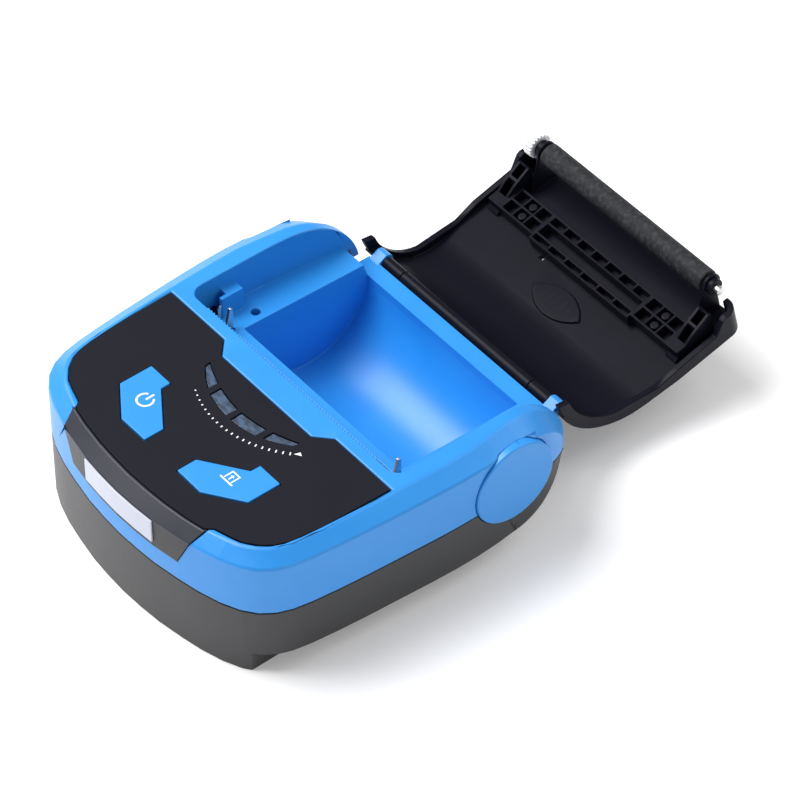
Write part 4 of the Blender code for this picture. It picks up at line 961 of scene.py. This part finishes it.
@dataclass
class Mechanism:
    """The print mechanism and what else lies inside the case."""

    shop: Workshop
    tab_from: float = -49.4 * MM
    tab_thick: float = 0.5 * MM
    tab: tuple[Point, ...] = (
        (6.7 * MM, 29.5 * MM), (10.9 * MM, 29.5 * MM), (11.0 * MM, 36.4 * MM), (10.6 * MM, 38.9 * MM),
        (9.6 * MM, 40.7 * MM), (8.5 * MM, 41.4 * MM), (7.5 * MM, 41.2 * MM), (6.7 * MM, 40.3 * MM),
    )
    guard: tuple[Point, ...] = (
        (-58.2 * MM, 1.5 * MM), (-50.2 * MM, 1.5 * MM), (-50.2 * MM, 8.4 * MM), (-58.2 * MM, 8.4 * MM)
    )
    guard_heights: Point = (32.0 * MM, 38.5 * MM)

    def build(self) -> None:
        """Dress the inner pieces."""
        stock = self.shop.stock
        for node, finish in (
            ("mechanism_chassis", stock.steel), ("drive_motor", stock.steel),
            ("motor_pinion", stock.steel), ("idler_gear", stock.nylon),
            ("hinge_pin", stock.steel), ("print_head", stock.ceramic),
            ("heat_spreader", stock.aluminium), ("circuit_board", stock.mask),
            ("battery_pack", stock.wrap), ("power_switch", stock.black),
            ("feed_switch", stock.black),
        ):
            self.shop.dress(node, finish, 0.08 * MM)
        self.corner_pieces()

    def corner_pieces(self) -> None:
        """Add the bright latch tab and the dark gear guard in the bay's left corner."""
        stock = self.shop.stock
        tab_to = self.tab_from + self.tab_thick
        tab = self.shop.raised(
            "cover_latch_tab", [self.tab], self.tab_from, tab_to, stock.steel, upright=True
        )
        self.shop.hand_over(tab, Body.CASE.value, "bright_steel")
        low, high = self.guard_heights
        guard = self.shop.raised("gear_guard", [self.guard], low, high, stock.black)
        self.shop.hand_over(guard, Body.CASE.value, "black_plastic")


@dataclass
class Studio:
    """Pale floor, soft light and the camera."""

    azimuth: float = 50.754
    elevation: float = 45.583
    roll: float = 0.146
    lens: float = 194.84
    sensor: float = 36.0
    eye: tuple[float, float, float] = (0.76711, -0.58342, 1.024984)
    glow: float = 0.18
    paper: Colour = (0.92, 0.92, 0.93)
    surround: float = 0.32

    def build(self) -> None:
        """Set up the studio."""
        self.floor()
        self.camera()
        self.lights()
        bpy.context.scene.view_settings.view_transform = "Standard"

    def floor(self) -> None:
        """Lay a wide pale floor under the feet."""
        bm = bmesh.new()
        bmesh.ops.create_grid(bm, x_segments=1, y_segments=1, size=6.0)
        mesh = bpy.data.meshes.new("studio_floor")
        bm.to_mesh(mesh)
        bm.free()
        floor = bpy.data.objects.new("studio_floor", mesh)
        floor.location.z = -0.05 * MM
        bpy.context.scene.collection.objects.link(floor)
        graph = Graph("pale_floor")
        graph.set(base_color=self.paper, roughness=0.9, specular_ior_level=0.0)
        graph.set(emission_color=(1.0, 1.0, 1.0), emission_strength=self.glow)
        mesh.materials.append(graph.material)

    def camera(self) -> None:
        """Place the camera where the photograph was taken from."""
        data = bpy.data.cameras.new("camera")
        data.sensor_width = self.sensor
        data.lens = self.lens
        data.clip_start = 0.05
        data.clip_end = 20.0
        camera = bpy.data.objects.new("camera", data)
        turn, rise = math.radians(self.azimuth), math.radians(self.elevation)
        back = Vector(
            (math.sin(turn) * math.cos(rise), -math.cos(turn) * math.cos(rise), math.sin(rise))
        )
        right = Vector((math.cos(turn), math.sin(turn), 0.0))
        up = back.cross(right)
        tilt = Matrix.Rotation(math.radians(self.roll), 3, "Z")
        basis = Matrix((right, up, back)).transposed() @ tilt
        camera.matrix_world = Matrix.Translation(self.eye) @ basis.to_4x4()
        bpy.context.scene.collection.objects.link(camera)
        bpy.context.scene.camera = camera

    def lights(self) -> None:
        """Hang large soft lamps over a bright surround."""
        world = bpy.data.worlds.new("studio_surround")
        world.use_nodes = True
        backdrop = world.node_tree.nodes["Background"]
        backdrop.inputs["Color"].default_value = (1.0, 1.0, 1.0, 1.0)
        backdrop.inputs["Strength"].default_value = self.surround
        bpy.context.scene.world = world
        for name, place, size, power in (
            ("key", (-0.6, -0.35, 1.1), 0.9, 22.0),
            ("rear", (0.25, 0.95, 0.9), 0.8, 4.0),
            ("side", (1.1, -0.1, 0.45), 0.6, 1.5),
        ):
            data = bpy.data.lights.new(f"{name}_lamp", "AREA")
            data.shape = "SQUARE"
            data.size = size
            data.energy = power
            lamp = bpy.data.objects.new(f"{name}_lamp", data)
            lamp.location = place
            lamp.rotation_euler = (-Vector(place)).to_track_quat("-Z", "Y").to_euler()
            bpy.context.scene.collection.objects.link(lamp)


def main() -> None:
    """Build the finished printer and its studio."""
    logging.basicConfig(level=logging.INFO, format="%(message)s")
    for item in list(bpy.data.objects):
        bpy.data.objects.remove(item, do_unlink=True)
    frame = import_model()
    studio = Studio()
    studio.build()
    shop = Workshop(frame, Stock())
    for assembly in (Case(shop), Panel(shop), Cover(shop), Platen(shop), Mechanism(shop)):
        assembly.build()


if __name__ == "__main__":
    main()
